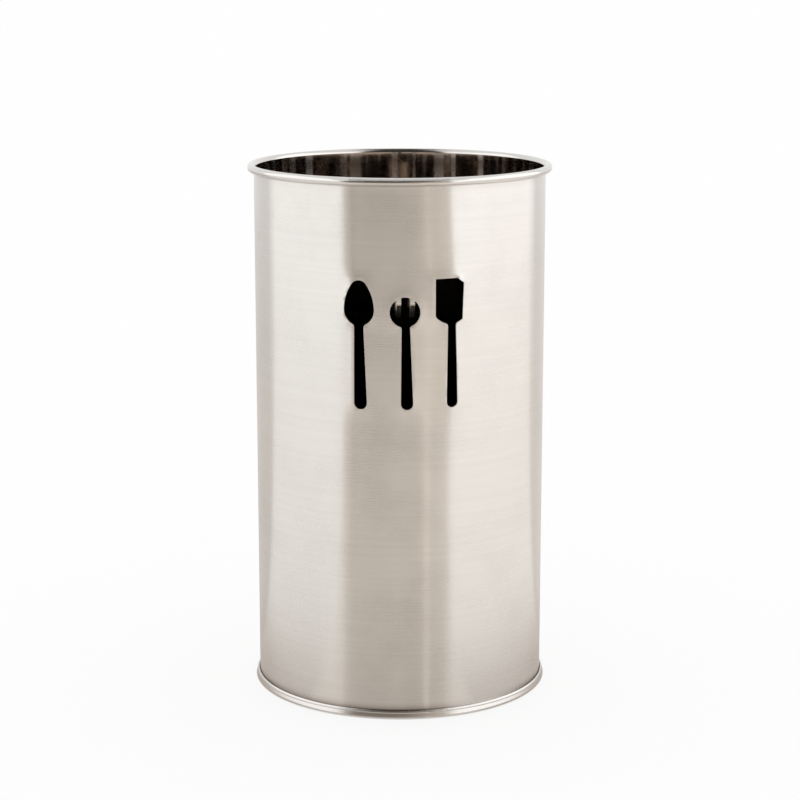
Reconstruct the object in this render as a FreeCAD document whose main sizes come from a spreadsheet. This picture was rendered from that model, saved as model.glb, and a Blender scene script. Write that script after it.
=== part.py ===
import FreeCAD, Part
import math
import os
import Sketcher

# Utensil crock in millimetres. The origin is the middle of the plane that it stands on, +Z is up and
# the cut-outs face -Y. Angles are in degrees.

SIZES = {
    # Overall size
    "height": "177.8",
    "rim_diameter": "101.6",
    # Wall sheet, rolled into a sleeve and closed by a weld up the back
    "wall_thickness": "0.4",
    "weld_width": "0.9",
    "weld_crown": "0.06",
    "weld_margin": "0.8",
    # Rim: the sheet curled outwards around a wire
    "curl_diameter": "2.6",
    "curl_sweep": "300",
    "wire_clearance": "0.03",
    "wire_end_gap": "0.4",
    # Double seam: the edge of the base rolled around the hook of the sleeve
    "base_thickness": "0.4",
    "seam_height": "3.0",
    "seam_clearance": "0.03",
    "hook_clearance": "0.3",
    "land_bend_radius": "0.3",
    # Panel of the base, with a raised middle
    "panel_height": "4.6",
    "panel_bend_radius": "0.6",
    "step_diameter": "70.0",
    "step_rise": "0.8",
    "step_slope": "45",
    # Spoon cut-out. Each cut-out is turned about the axis from the front, and the end of its handle
    # lies its drop below the top of the rim
    "spoon_turn": "-15.49",
    "spoon_drop": "74.18",
    "spoon_lean": "0.5",
    "spoon_handle_width": "4.2",
    "spoon_neck_width": "3.08",
    "spoon_neck_fillet": "1.4",
    "spoon_bowl_radius": "4.95",
    "spoon_bowl_height": "9.64",
    "spoon_tip_radius": "2.9",
    "spoon_length": "41.64",
    # Fork cut-out, with two tabs of sheet left hanging between its tines and bent inwards
    "fork_turn": "2.27",
    "fork_drop": "74.11",
    "fork_lean": "0.39",
    "fork_handle_width": "3.9",
    "fork_neck_width": "2.67",
    "fork_neck_fillet": "0.5",
    "fork_head_radius": "4.86",
    "fork_head_rise": "31.46",
    "fork_head_shift": "-0.27",
    "fork_tine_width": "2.95",
    "fork_tab_width": "1.4",
    "fork_tab_drop": "1.3",
    "fork_tab_bend_radius": "1.2",
    "fork_tab_bend": "34",
    "fork_tab_reach": "6.0",
    # Turner cut-out, with one corner of its blade clipped
    "turner_turn": "19.86",
    "turner_drop": "73.75",
    "turner_lean": "0.19",
    "turner_handle_width": "3.66",
    "turner_neck_width": "2.66",
    "turner_neck_fillet": "1.2",
    "turner_left_reach": "5.4",
    "turner_right_reach": "4.08",
    "turner_right_taper": "0.44",
    "turner_heel_shift": "-0.3",
    "turner_heel_depth": "2.48",
    "turner_corner_radius": "1.2",
    "turner_clip_width": "2.2",
    "turner_clip_height": "1.6",
    "turner_blade_height": "14.5",
    "turner_length": "41.59",
    "turner_top_rise": "0.1",
}

doc = FreeCAD.newDocument("UtensilCrock")
sheet = doc.addObject("Spreadsheet::Sheet", "Sizes")
for row, (alias, number) in enumerate(SIZES.items(), start=1):
    sheet.set(f"A{row}", alias)
    sheet.set(f"B{row}", number)
    sheet.setAlias(f"B{row}", alias)
doc.recompute()

# Places that several pieces share, worked out from the sheet
WALL_INSIDE = "(Sizes.rim_diameter / 2 - Sizes.curl_diameter)"
WALL_OUTSIDE = f"({WALL_INSIDE} + Sizes.wall_thickness)"
CURL_RADIUS = "(Sizes.curl_diameter / 2)"
CURL_CENTRE = f"({WALL_INSIDE} + {CURL_RADIUS})"
CURL_LEVEL = f"(Sizes.height - {CURL_RADIUS})"
CURL_BORE = f"({CURL_RADIUS} - Sizes.wall_thickness)"
WELD_ANGLE = f"(Sizes.weld_width / {WALL_OUTSIDE} * 180 / pi)"

# Double seam, from the inside outwards: chuck wall of the base, wall of the sleeve, cover hook of the
# base, body hook of the sleeve, seaming wall of the base
CHUCK_OUTSIDE = f"({WALL_INSIDE} - Sizes.seam_clearance)"
CHUCK_INSIDE = f"({CHUCK_OUTSIDE} - Sizes.base_thickness)"
COVER_INSIDE = f"({WALL_OUTSIDE} + Sizes.seam_clearance)"
COVER_OUTSIDE = f"({COVER_INSIDE} + Sizes.base_thickness)"
HOOK_INSIDE = f"({COVER_OUTSIDE} + Sizes.seam_clearance)"
HOOK_OUTSIDE = f"({HOOK_INSIDE} + Sizes.wall_thickness)"
SEAM_INSIDE = f"({HOOK_OUTSIDE} + Sizes.seam_clearance)"
SEAM_OUTSIDE = f"({SEAM_INSIDE} + Sizes.base_thickness)"
HOOK_MIDDLE = f"(({WALL_OUTSIDE} + {HOOK_INSIDE}) / 2)"
HOOK_BEND = f"(({HOOK_OUTSIDE} - {WALL_INSIDE}) / 2)"
HOOK_FLOOR = "(Sizes.base_thickness + Sizes.seam_clearance)"
HOOK_LEVEL = f"({HOOK_FLOOR} + {HOOK_BEND})"
COVER_MIDDLE = f"(({COVER_OUTSIDE} + {SEAM_INSIDE}) / 2)"
COVER_LEVEL = f"(Sizes.seam_height - ({SEAM_OUTSIDE} - {COVER_INSIDE}) / 2)"
HOOK_END = "(Sizes.seam_height - Sizes.base_thickness - Sizes.hook_clearance)"
COVER_END = f"({HOOK_FLOOR} + Sizes.wall_thickness + Sizes.hook_clearance)"

FRONT = "-90"
BACK = "90"


def value(expression):
    """The number that an expression on the sheet comes to."""
    return float(sheet.evalExpression(expression))


def new_body(label):
    """An empty body that carries its node's name."""
    body = doc.addObject("PartDesign::Body", label)
    body.Label = label
    return body


class Outline:
    """A closed chain of lines and arcs in an upright sketch, with every point tied to the sheet.

    The sketch stands in the XZ plane, turned about the axis of the crock and lifted up it.
    """

    def __init__(self, body, name, turn, lift="0"):
        self.sketch = body.newObject("Sketcher::SketchObject", name)
        upright = [plane for plane in body.Origin.OriginFeatures if plane.Role == "XZ_Plane"]
        self.sketch.AttachmentSupport = [(upright[0], "")]
        self.sketch.MapMode = "FlatFace"
        turned = f"rotation(vector(0; 1; 0); ({turn}) * 1 deg)"
        self.sketch.setExpression("AttachmentOffset", f"placement(vector(0; {lift}; 0); {turned})")
        self.points = []
        self.edges = []

    def start(self, across, up):
        """Begin the chain at a point."""
        self.points.append((across, up))

    def line_to(self, across, up):
        """Draw a straight edge to a point."""
        ends = [self.vector(self.points[-1]), self.vector((across, up))]
        self.edges.append((self.sketch.addGeometry(Part.LineSegment(*ends), False), 1, 2))
        self.points.append((across, up))

    def arc_to(self, across, up, centre, clockwise=False):
        """Draw an arc to a point, around a centre."""
        middle = self.vector(centre)
        first = self.vector(self.points[-1]) - middle
        last = self.vector((across, up)) - middle
        if clockwise:
            first, last = last, first
        begin = math.atan2(first.y, first.x)
        sweep = (math.atan2(last.y, last.x) - begin) % math.tau
        circle = Part.Circle(middle, FreeCAD.Vector(0, 0, 1), first.Length)
        edge = self.sketch.addGeometry(Part.ArcOfCircle(circle, begin, begin + sweep), False)
        self.edges.append((edge, 2, 1) if clockwise else (edge, 1, 2))
        self.points.append((across, up))
        half_way = begin + sweep / 2
        axis = "X" if abs(math.cos(half_way)) > abs(math.sin(half_way)) else "Y"
        self.hold(edge, 3, axis, centre[0] if axis == "X" else centre[1])

    def close(self):
        """Tie each edge to the next one and each corner to its place."""
        for index, (edge, first, last) in enumerate(self.edges):
            following, follows_at, _ = self.edges[(index + 1) % len(self.edges)]
            joint = Sketcher.Constraint("Coincident", edge, last, following, follows_at)
            self.sketch.addConstraint(joint)
            across, up = self.points[index]
            self.hold(edge, first, "X", across)
            self.hold(edge, first, "Y", up)
        return self.sketch

    def hold(self, edge, point, axis, expression):
        """Hold one coordinate of a point at its distance from the origin of the sketch."""
        distance = value(expression)
        origin = (-1, 1)
        if abs(distance) < Part.Precision.confusion():
            datum_line = -2 if axis == "X" else -1
            self.sketch.addConstraint(Sketcher.Constraint("PointOnObject", edge, point, datum_line))
            return
        ends = (*origin, edge, point)
        if distance < 0:
            ends = (edge, point, *origin)
            expression = f"-({expression})"
        gap = self.sketch.addConstraint(Sketcher.Constraint("Distance" + axis, *ends, abs(distance)))
        self.sketch.setExpression(f"Constraints[{gap}]", expression)

    def vector(self, point):
        """The place of a point in the sketch."""
        return FreeCAD.Vector(value(point[0]), value(point[1]), 0)


def revolve(body, name, sketch, angle):
    """Turn a profile about the axis of the crock, by half the angle each way."""
    ring = body.newObject("PartDesign::Revolution", name)
    ring.Profile = sketch
    ring.ReferenceAxis = (sketch, ["V_Axis"])
    ring.Midplane = True
    ring.setExpression("Angle", angle)
    sketch.Visibility = False
    return ring


def cut_front(body, name, sketch):
    """Cut an outline through the front of the wall, from the axis outwards."""
    cut = body.newObject("PartDesign::Pocket", name)
    cut.Profile = sketch
    cut.Reversed = True
    cut.setExpression("Length", "Sizes.rim_diameter / 2")
    sketch.Visibility = False
    return cut


def sleeve_profile(body, side):
    """Section of the wall sheet, from the hook at its foot to the curl at its rim."""
    curl = (CURL_CENTRE, CURL_LEVEL)
    bend = (HOOK_MIDDLE, HOOK_LEVEL)
    edge_angle = "(180 - Sizes.curl_sweep) * 1 deg"
    section = Outline(body, body.Label + "_section", side)
    section.start(WALL_INSIDE, HOOK_LEVEL)
    section.line_to(WALL_INSIDE, CURL_LEVEL)
    section.arc_to(f"{CURL_CENTRE} + {CURL_RADIUS} * cos({edge_angle})",
                   f"{CURL_LEVEL} + {CURL_RADIUS} * sin({edge_angle})", curl, clockwise=True)
    section.line_to(f"{CURL_CENTRE} + {CURL_BORE} * cos({edge_angle})",
                    f"{CURL_LEVEL} + {CURL_BORE} * sin({edge_angle})")
    section.arc_to(WALL_OUTSIDE, CURL_LEVEL, curl)
    section.line_to(WALL_OUTSIDE, HOOK_LEVEL)
    section.arc_to(HOOK_INSIDE, HOOK_LEVEL, bend)
    section.line_to(HOOK_INSIDE, HOOK_END)
    section.line_to(HOOK_OUTSIDE, HOOK_END)
    section.line_to(HOOK_OUTSIDE, HOOK_LEVEL)
    section.arc_to(WALL_INSIDE, HOOK_LEVEL, bend, clockwise=True)
    return section.close()


def neck_fillet(utensil, side, heel, radius):
    """Middle of the fillet beside a neck, and where it runs into the round heel of the head.

    The side is -1 on the left of the neck and 1 on its right.
    """
    fillet = f"Sizes.{utensil}_neck_fillet"
    reach = f"({radius} + {fillet})"
    across = f"({side} * (Sizes.{utensil}_neck_width / 2 + {fillet}) - {heel[0]})"
    drop = f"sqrt({reach}^2 - {across}^2)"
    heel_share = f"({radius} / {reach})"
    middle = (f"({heel[0]} + {across})", f"({heel[1]} - {drop})")
    touch = (f"{heel[0]} + {across} * {heel_share}", f"{heel[1]} - {drop} * {heel_share}")
    return middle, touch


def handle_outline(body, utensil, heel, radius):
    """Begin the outline of a utensil: from the heel of its head down its handle and up again."""
    lean = f"Sizes.{utensil}_lean"
    half_end = f"Sizes.{utensil}_handle_width / 2"
    half_neck = f"Sizes.{utensil}_neck_width / 2"
    left, left_touch = neck_fillet(utensil, -1, heel, radius)
    right, right_touch = neck_fillet(utensil, 1, heel, radius)
    foot = f"Sizes.height - Sizes.{utensil}_drop"
    outline = Outline(body, utensil + "_outline", f"Sizes.{utensil}_turn", foot)
    outline.start(*left_touch)
    outline.arc_to(f"-{half_neck}", left[1], left, clockwise=True)
    outline.line_to(f"{lean} - {half_end}", half_end)
    outline.arc_to(f"{lean} + {half_end}", half_end, (lean, half_end))
    outline.line_to(half_neck, right[1])
    outline.arc_to(*right_touch, right, clockwise=True)
    return outline


def spoon_cut(body):
    """Cut the spoon. Its bowl is an egg: a round heel, two long flanks and a small round tip."""
    bowl = "Sizes.spoon_bowl_radius"
    tip = "Sizes.spoon_tip_radius"
    rise = "(Sizes.spoon_length - Sizes.spoon_bowl_height)"
    heel = ("0", rise)
    tip_level = f"(Sizes.spoon_length - {tip})"
    climb = f"(Sizes.spoon_bowl_height - {tip})"
    flank = f"(({bowl}^2 - {tip}^2 + {climb}^2) / (2 * ({bowl} - {tip})))"
    touch_across = f"({flank} - {bowl}) * {tip} / ({flank} - {tip})"
    touch_up = f"{rise} + {flank} * {climb} / ({flank} - {tip})"
    outline = handle_outline(body, "spoon", heel, bowl)
    outline.arc_to(bowl, rise, heel)
    outline.arc_to(touch_across, touch_up, (f"{bowl} - {flank}", rise))
    outline.arc_to(f"-{touch_across}", touch_up, ("0", tip_level))
    outline.arc_to(f"-{bowl}", rise, (f"{flank} - {bowl}", rise))
    outline.arc_to(*outline.points[0], heel)
    return cut_front(body, "spoon", outline.close())


def fork_cut(body):
    """Cut the fork, whose head is round. The tabs between its tines are added afterwards."""
    radius = "Sizes.fork_head_radius"
    head = ("Sizes.fork_head_shift", "Sizes.fork_head_rise")
    outline = handle_outline(body, "fork", head, radius)
    outline.arc_to(*outline.points[0], head)
    return cut_front(body, "fork", outline.close())


def fork_tab(body, name, side):
    """A tab between two tines: it hangs in the wall from the top of the head, then bends inwards.

    The side is -1 on the left of the middle tine and 1 on its right.
    """
    top = "(Sizes.fork_head_rise + Sizes.fork_head_radius)"
    root = f"{top} + Sizes.wall_thickness"
    bend_level = f"({top} - Sizes.fork_tab_drop)"
    inner_bend = "Sizes.fork_tab_bend_radius"
    outer_bend = f"({inner_bend} + Sizes.wall_thickness)"
    pivot = (f"({WALL_INSIDE} - {inner_bend})", bend_level)
    cosine = "cos(Sizes.fork_tab_bend * 1 deg)"
    sine = "sin(Sizes.fork_tab_bend * 1 deg)"
    reach = "Sizes.fork_tab_reach"

    def bent(radius, beyond):
        across = f"{pivot[0]} + {radius} * {cosine} - {beyond} * {sine}"
        return across, f"{bend_level} - {radius} * {sine} - {beyond} * {cosine}"

    offset = f"{side} * (Sizes.fork_tine_width + Sizes.fork_tab_width) / 2"
    turn = f"{FRONT} + Sizes.fork_turn + asin({offset} / {WALL_OUTSIDE}) / 1 deg"
    section = Outline(body, name + "_section", turn, "Sizes.height - Sizes.fork_drop")
    section.start(WALL_OUTSIDE, root)
    section.line_to(WALL_OUTSIDE, bend_level)
    section.arc_to(*bent(outer_bend, "0"), pivot, clockwise=True)
    section.line_to(*bent(outer_bend, reach))
    section.line_to(*bent(inner_bend, reach))
    section.line_to(*bent(inner_bend, "0"))
    section.arc_to(WALL_INSIDE, bend_level, pivot)
    section.line_to(WALL_INSIDE, root)
    section.line_to(WALL_OUTSIDE, root)
    return revolve(body, name, section.close(), f"Sizes.fork_tab_width / {WALL_OUTSIDE} * 180 / pi")


def turner_cut(body):
    """Cut the turner. Its blade has a curved heel, a sloping top and one clipped corner."""
    left = "-Sizes.turner_left_reach"
    right = "Sizes.turner_right_reach"
    heel_right = f"({right} - Sizes.turner_right_taper)"
    top = "Sizes.turner_length"
    high_top = f"({top} + Sizes.turner_top_rise)"
    shift = "Sizes.turner_heel_shift"
    depth = "Sizes.turner_heel_depth"
    half_chord = f"({shift} + Sizes.turner_left_reach)"
    radius = f"(({half_chord}^2 + {depth}^2) / (2 * {depth}))"
    heel = (shift, f"({top} - Sizes.turner_blade_height + {radius})")
    corner = "Sizes.turner_corner_radius"
    corner_across = f"({half_chord} - {corner})"
    corner_drop = f"sqrt(({radius} - {corner})^2 - {corner_across}^2)"
    corner_level = f"({heel[1]} - {corner_drop})"
    stretch = f"({radius} / ({radius} - {corner}))"
    touch = (f"{shift} - {corner_across} * {stretch}", f"{heel[1]} - {corner_drop} * {stretch}")
    outline = handle_outline(body, "turner", heel, radius)
    outline.arc_to(heel_right, f"{heel[1]} - sqrt({radius}^2 - ({heel_right} - {shift})^2)", heel)
    outline.line_to(right, f"{high_top} - Sizes.turner_clip_height")
    outline.line_to(f"{right} - Sizes.turner_clip_width", high_top)
    outline.line_to(left, top)
    outline.line_to(left, corner_level)
    outline.arc_to(*touch, (f"{left} + {corner}", corner_level))
    outline.arc_to(*outline.points[0], heel)
    return cut_front(body, "turner", outline.close())


def make_sleeve():
    """The rolled wall sheet, open by the width of the weld at the back, with its three cut-outs."""
    body = new_body("sleeve")
    features = [revolve(body, "rolled_sheet", sleeve_profile(body, FRONT), f"360 - {WELD_ANGLE}")]
    for cut in (spoon_cut, fork_cut, turner_cut):
        features.append(cut(body))
    tabs = [features[-1], fork_tab(body, "left_tab", "-1"), fork_tab(body, "right_tab", "1")]
    doc.recompute()
    for before, after in zip(features, features[1:]):
        if after.Shape.Volume >= before.Shape.Volume:
            raise RuntimeError(after.Label + " cuts nothing")
    for before, after in zip(tabs, tabs[1:]):
        if after.Shape.Volume <= before.Shape.Volume:
            raise RuntimeError(after.Label + " adds nothing")
    return body


def make_side_weld():
    """The butt weld between the edges of the sheet, a little proud of the plain wall on both faces."""
    body = new_body("side_weld")
    revolve(body, "weld_fill", sleeve_profile(body, BACK), WELD_ANGLE)
    inside = f"{WALL_INSIDE} - Sizes.weld_crown"
    outside = f"{WALL_OUTSIDE} + Sizes.weld_crown"
    foot = "Sizes.panel_height + Sizes.weld_margin"
    head = "Sizes.height - Sizes.curl_diameter - Sizes.weld_margin"
    crown = Outline(body, "weld_crown_section", BACK)
    crown.start(inside, foot)
    crown.line_to(outside, foot)
    crown.line_to(outside, head)
    crown.line_to(inside, head)
    crown.line_to(inside, foot)
    revolve(body, "weld_bead", crown.close(), WELD_ANGLE)
    return body


def make_rim_wire():
    """The wire inside the curl, bent into a ring with its cut ends at the back."""
    wire = doc.addObject("Part::Torus", "rim_wire")
    wire.Label = "rim_wire"
    gap_angle = f"(Sizes.wire_end_gap / {CURL_CENTRE} * 180 / pi)"
    wire.setExpression("Radius1", CURL_CENTRE)
    wire.setExpression("Radius2", f"{CURL_BORE} - Sizes.wire_clearance")
    wire.setExpression("Angle3", f"360 - {gap_angle}")
    turned = f"rotation(vector(0; 0; 1); ({BACK} + {gap_angle} / 2) * 1 deg)"
    wire.setExpression("Placement", f"placement(vector(0; 0; {CURL_LEVEL}); {turned})")
    return wire


def make_base_pan():
    """The pressed base: raised panel, chuck wall, standing land and the seam rolled over the hook."""
    body = new_body("base_pan")
    thick = "Sizes.base_thickness"
    panel = "Sizes.panel_height"
    plateau = f"({panel} + Sizes.step_rise)"
    step_in = "(Sizes.step_diameter / 2)"
    step_out = f"({step_in} + Sizes.step_rise / tan(Sizes.step_slope * 1 deg))"
    step_back = f"{thick} * tan(Sizes.step_slope / 2 * 1 deg)"
    panel_bend = f"(Sizes.panel_bend_radius + {thick})"
    shoulder = (f"{CHUCK_OUTSIDE} - {panel_bend}", f"{panel} - {panel_bend}")
    land_bend = "Sizes.land_bend_radius"
    land_level = f"{thick} + {land_bend}"
    land_in = (f"{CHUCK_OUTSIDE} + {land_bend}", land_level)
    land_out = (f"{SEAM_INSIDE} - {land_bend}", land_level)
    seam_top = (COVER_MIDDLE, COVER_LEVEL)

    section = Outline(body, "base_section", FRONT)
    section.start("0", plateau)
    section.line_to(step_in, plateau)
    section.line_to(step_out, panel)
    section.line_to(shoulder[0], panel)
    section.arc_to(CHUCK_OUTSIDE, shoulder[1], shoulder, clockwise=True)
    section.line_to(CHUCK_OUTSIDE, land_level)
    section.arc_to(land_in[0], thick, land_in)
    section.line_to(land_out[0], thick)
    section.arc_to(SEAM_INSIDE, land_level, land_out)
    section.line_to(SEAM_INSIDE, COVER_LEVEL)
    section.arc_to(COVER_OUTSIDE, COVER_LEVEL, seam_top)
    section.line_to(COVER_OUTSIDE, COVER_END)
    section.line_to(COVER_INSIDE, COVER_END)
    section.line_to(COVER_INSIDE, COVER_LEVEL)
    section.arc_to(SEAM_OUTSIDE, COVER_LEVEL, seam_top, clockwise=True)
    section.line_to(SEAM_OUTSIDE, land_level)
    section.arc_to(land_out[0], "0", land_out, clockwise=True)
    section.line_to(land_in[0], "0")
    section.arc_to(CHUCK_INSIDE, land_level, land_in, clockwise=True)
    section.line_to(CHUCK_INSIDE, shoulder[1])
    section.arc_to(shoulder[0], f"{panel} - {thick}", shoulder)
    section.line_to(f"{step_out} - {step_back}", f"{panel} - {thick}")
    section.line_to(f"{step_in} - {step_back}", f"{plateau} - {thick}")
    section.line_to("0", f"{plateau} - {thick}")
    section.line_to("0", plateau)
    revolve(body, "pressed_base", section.close(), "360")
    return body


pieces = [make_sleeve(), make_side_weld(), make_rim_wire(), make_base_pan()]
doc.recompute()

for item in doc.Objects:
    if "Invalid" in item.State or "Error" in item.State:
        raise RuntimeError(item.Label + " failed to build")
for piece in pieces:
    if piece.Shape.isNull() or not piece.Shape.isValid():
        raise RuntimeError(piece.Label + " is not a valid solid")

os.makedirs("parts", exist_ok=True)
for piece in pieces:
    piece.Shape.exportStep(f"parts/{piece.Label}.step")
    box = piece.Shape.optimalBoundingBox()
    print(f"{piece.Label}: {len(piece.Shape.Solids)} solid, {piece.Shape.Volume:.1f} mm3,",
          f"x {box.XMin:.2f}..{box.XMax:.2f}, y {box.YMin:.2f}..{box.YMax:.2f},",
          f"z {box.ZMin:.2f}..{box.ZMax:.2f}")
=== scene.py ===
import math

import bpy
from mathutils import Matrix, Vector


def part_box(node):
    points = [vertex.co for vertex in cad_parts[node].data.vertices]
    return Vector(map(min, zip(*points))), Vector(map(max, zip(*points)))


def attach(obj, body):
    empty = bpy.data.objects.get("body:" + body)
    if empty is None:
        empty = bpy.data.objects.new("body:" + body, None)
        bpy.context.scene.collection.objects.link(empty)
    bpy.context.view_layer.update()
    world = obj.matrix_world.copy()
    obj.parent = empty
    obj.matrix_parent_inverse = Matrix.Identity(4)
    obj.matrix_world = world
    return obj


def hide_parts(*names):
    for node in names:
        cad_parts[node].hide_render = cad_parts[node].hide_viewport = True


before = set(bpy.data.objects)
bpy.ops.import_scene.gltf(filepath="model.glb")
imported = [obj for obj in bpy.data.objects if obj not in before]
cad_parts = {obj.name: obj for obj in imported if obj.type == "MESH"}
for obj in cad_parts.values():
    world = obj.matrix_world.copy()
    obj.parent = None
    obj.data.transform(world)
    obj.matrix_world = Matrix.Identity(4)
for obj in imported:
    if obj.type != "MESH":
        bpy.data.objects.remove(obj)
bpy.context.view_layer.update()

bl_info = {
    "name": "Utensil Crock",
    "version": (1, 0, 0),
    "blender": (4, 5, 0),
    "location": "View3D > Sidebar > Crock",
    "description": "Models and dresses a rolled steel utensil crock around its packed construction",
    "category": "Mesh",
}

MM = 0.001


def from_axis(point):
    """How far a point lies from the axis of the crock."""
    return math.hypot(point.x, point.y)


def axis_distances(node, below=math.inf):
    """How far the points of a construction node below a level lie from the axis of the crock."""
    points = [vertex.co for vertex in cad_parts[node].data.vertices]
    return [from_axis(point) for point in points if point.z < below]


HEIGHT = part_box("sleeve")[1].z
BASE_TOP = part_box("base_pan")[1].z
RIM_RADIUS = max(axis_distances("sleeve"))
WALL_RADIUS = min(axis_distances("sleeve", BASE_TOP))
SEAM_RADIUS = max(axis_distances("base_pan"))


def length(name, description, millimetres):
    """A length that a user can change, written in millimetres."""
    return measured(name, description, millimetres * MM)


def measured(name, description, metres):
    """A length that follows the packed construction."""
    return bpy.props.FloatProperty(
        name=name, description=description, default=metres, unit="LENGTH", precision=5)


def angle(name, description, degrees):
    """An angle that a user can change, written in degrees."""
    return bpy.props.FloatProperty(
        name=name, description=description, default=math.radians(degrees), subtype="ANGLE")


def share(name, description, default):
    """A plain factor from 0 to 1."""
    return bpy.props.FloatProperty(
        name=name, description=description, default=default, min=0.0, max=1.0, subtype="FACTOR")


def level(name, description, default):
    """A brightness, where 1 is white, or another plain factor."""
    return bpy.props.FloatProperty(name=name, description=description, default=default, min=0.0)


def count(name, description, default):
    """A whole number of steps."""
    return bpy.props.IntProperty(name=name, description=description, default=default, min=1)


def colour(name, description, default):
    """A linear colour."""
    return bpy.props.FloatVectorProperty(
        name=name, description=description, default=default, subtype="COLOR", size=3, min=0.0)


class CrockSizes(bpy.types.PropertyGroup):
    """Sizes of the sheet metal."""

    height: measured("Height", "From the table to the top of the rim", HEIGHT)
    rim_radius: measured("Rim radius", "Outside of the rolled rim", RIM_RADIUS)
    wall_radius: measured("Wall radius", "Inside of the wall", WALL_RADIUS)
    seam_radius: measured("Seam radius", "Outside of the seam at the foot", SEAM_RADIUS)
    panel_top: measured("Panel top", "Raised middle of the base", BASE_TOP)
    sheet: length("Sheet", "Thickness of the sheet", 0.4)
    clearance: length("Clearance", "Gap between the layers of the seam", 0.03)
    curl_sweep: angle("Curl sweep", "How far the rim is rolled round", 300)
    curl_steps: count("Curl steps", "Steps around the curl", 30)
    seam_height: length("Seam height", "Height of the seam", 3.0)
    hook_clearance: length("Hook clearance", "Gap at the ends of the hooks", 0.3)
    bend_steps: count("Bend steps", "Steps around a bend", 8)
    land_bend: length("Land bend", "Inside radius of the bends at the standing edge", 0.3)
    step_rise: length("Step rise", "Height of the step in the base", 0.8)
    step_radius: length("Step radius", "Radius of the raised middle of the base", 35.0)
    panel_bend: length("Panel bend", "Inside radius of the bend at the edge of the panel", 0.6)
    weld_width: length("Weld width", "Width of the weld up the back", 0.9)
    weld_crown: length("Weld crown", "How far the weld stands proud", 0.06)
    weld_margin: length("Weld margin", "Plain weld at each end of the bead", 0.8)
    weld_pitch: length("Weld pitch", "From one ripple of the weld to the next", 0.6)
    weld_bow: share("Weld bow", "How far a ripple bows at the sides of the weld, in pitches", 0.6)
    weld_ripple: share("Weld ripple", "Depth of the ripples, as a share of the crown", 0.25)
    weld_steps: count("Weld steps", "Steps across the weld", 6)
    seam_crown: length("Seam crown", "How far the outside of the seam leans in", 0.54)
    seam_shoulder: length("Seam shoulder", "Height of the round top of the seam", 0.5)
    die_roll: length("Die roll", "Rounding that the punch leaves on the edges of the cut-outs", 0.12)
    row_height: length("Row height", "Height of the rows of faces on the wall", 4.0)
    fine_row: length("Fine row", "Height of the rows beside the cut-outs", 1.3)
    fine_low: length("Fine low", "Where the fine rows begin", 100.0)
    fine_high: length("Fine high", "Where the fine rows end", 149.0)
    corner_lift: length("Corner lift", "How far the shading lifts at the clip of the turner", 0.28)
    corner_reach: length("Corner reach", "How far that lift reaches", 1.4)
    swell_turn: angle("Swell turn", "Angle from the front of the shaded swelling by the turner", 25.4)
    swell_level: length("Swell level", "Height of that swelling", 134.0)
    swell_width: length("Swell width", "How far it reaches sideways", 8.0)
    swell_height: length("Swell height", "How far it reaches up and down", 28.0)
    swell_lift: length("Swell lift", "How far it stands out", 0.42)
    turns: count("Turns", "Steps around the crock", 360)
    wave_depth: length("Wave depth", "Depth of the slow waves in the rolled wall", 0.05)
    wave_size: length("Wave size", "Size of the slow waves", 34.0)
    edge_lift: length("Edge lift", "How far the edges of the cut-outs spring out of the round", 0.28)
    edge_reach: length("Edge reach", "How far that springing reaches into the wall", 2.5)
    spring_aside: length("Spring aside", "How far to the sides of a cut-out it is worked out", 15.0)
    spring_below: length("Spring below", "How far below the foot of a cut-out it is worked out", 10.0)
    spring_above: length("Spring above", "How far above the foot of a cut-out it is worked out", 55.0)
    dent_turn: angle("Dent turn", "Angle of the dent from the front", -71)
    dent_level: length("Dent level", "Height of the dent", 153.5)
    dent_size: length("Dent size", "Radius of the dent", 2.6)
    dent_depth: length("Dent depth", "Depth of the dent", 0.11)
    smooth_angle: angle("Smooth angle", "Edges sharper than this stay sharp", 30)
    weld_smooth_angle: angle("Weld smooth angle", "The same on the weld", 40)


class SpoonCutout(bpy.types.PropertyGroup):
    """Spoon cut through the front of the wall."""

    turn: angle("Turn", "Angle from the front", -15.49)
    foot: length("Foot", "Height of the end of the handle", 103.62)
    lean: length("Lean", "Sideways lean of the handle", 0.5)
    handle_width: length("Handle width", "Width of the round end", 4.2)
    neck_width: length("Neck width", "Width of the handle at the neck", 3.08)
    neck_fillet: length("Neck fillet", "Rounding beside the neck", 1.4)
    bowl_radius: length("Bowl radius", "Radius of the heel of the bowl", 4.95)
    bowl_height: length("Bowl height", "From the widest place to the tip", 9.64)
    tip_radius: length("Tip radius", "Radius of the tip", 2.9)
    whole_length: length("Length", "From the end of the handle to the tip", 41.64)


class ForkCutout(bpy.types.PropertyGroup):
    """Fork cut through the front of the wall."""

    turn: angle("Turn", "Angle from the front", 2.27)
    foot: length("Foot", "Height of the end of the handle", 103.69)
    lean: length("Lean", "Sideways lean of the handle", 0.39)
    handle_width: length("Handle width", "Width of the round end", 3.9)
    neck_width: length("Neck width", "Width of the handle at the neck", 2.67)
    neck_fillet: length("Neck fillet", "Rounding beside the neck", 0.5)
    head_radius: length("Head radius", "Radius of the round head", 4.86)
    head_rise: length("Head rise", "From the end of the handle to the middle of the head", 31.46)
    head_shift: length("Head shift", "Sideways shift of the head", -0.27)
    tine_width: length("Tine width", "Width of the middle tine", 2.95)
    tab_width: length("Tab width", "Width of a tab", 1.4)
    tab_drop: length("Tab drop", "From the top of the head to the bend of a tab", 1.55)
    tab_bend_radius: length("Tab bend radius", "Inside radius of the bend of a tab", 1.2)
    tab_bend: angle("Tab bend", "How far a tab is bent inwards", 43)
    tab_reach: length("Tab reach", "Length of a tab past its bend", 6.0)
    tab_root: share("Tab root", "How much of the springing of the edges a tab follows", 0.95)
    tab_steps: count("Tab steps", "Steps across a tab", 4)


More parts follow.
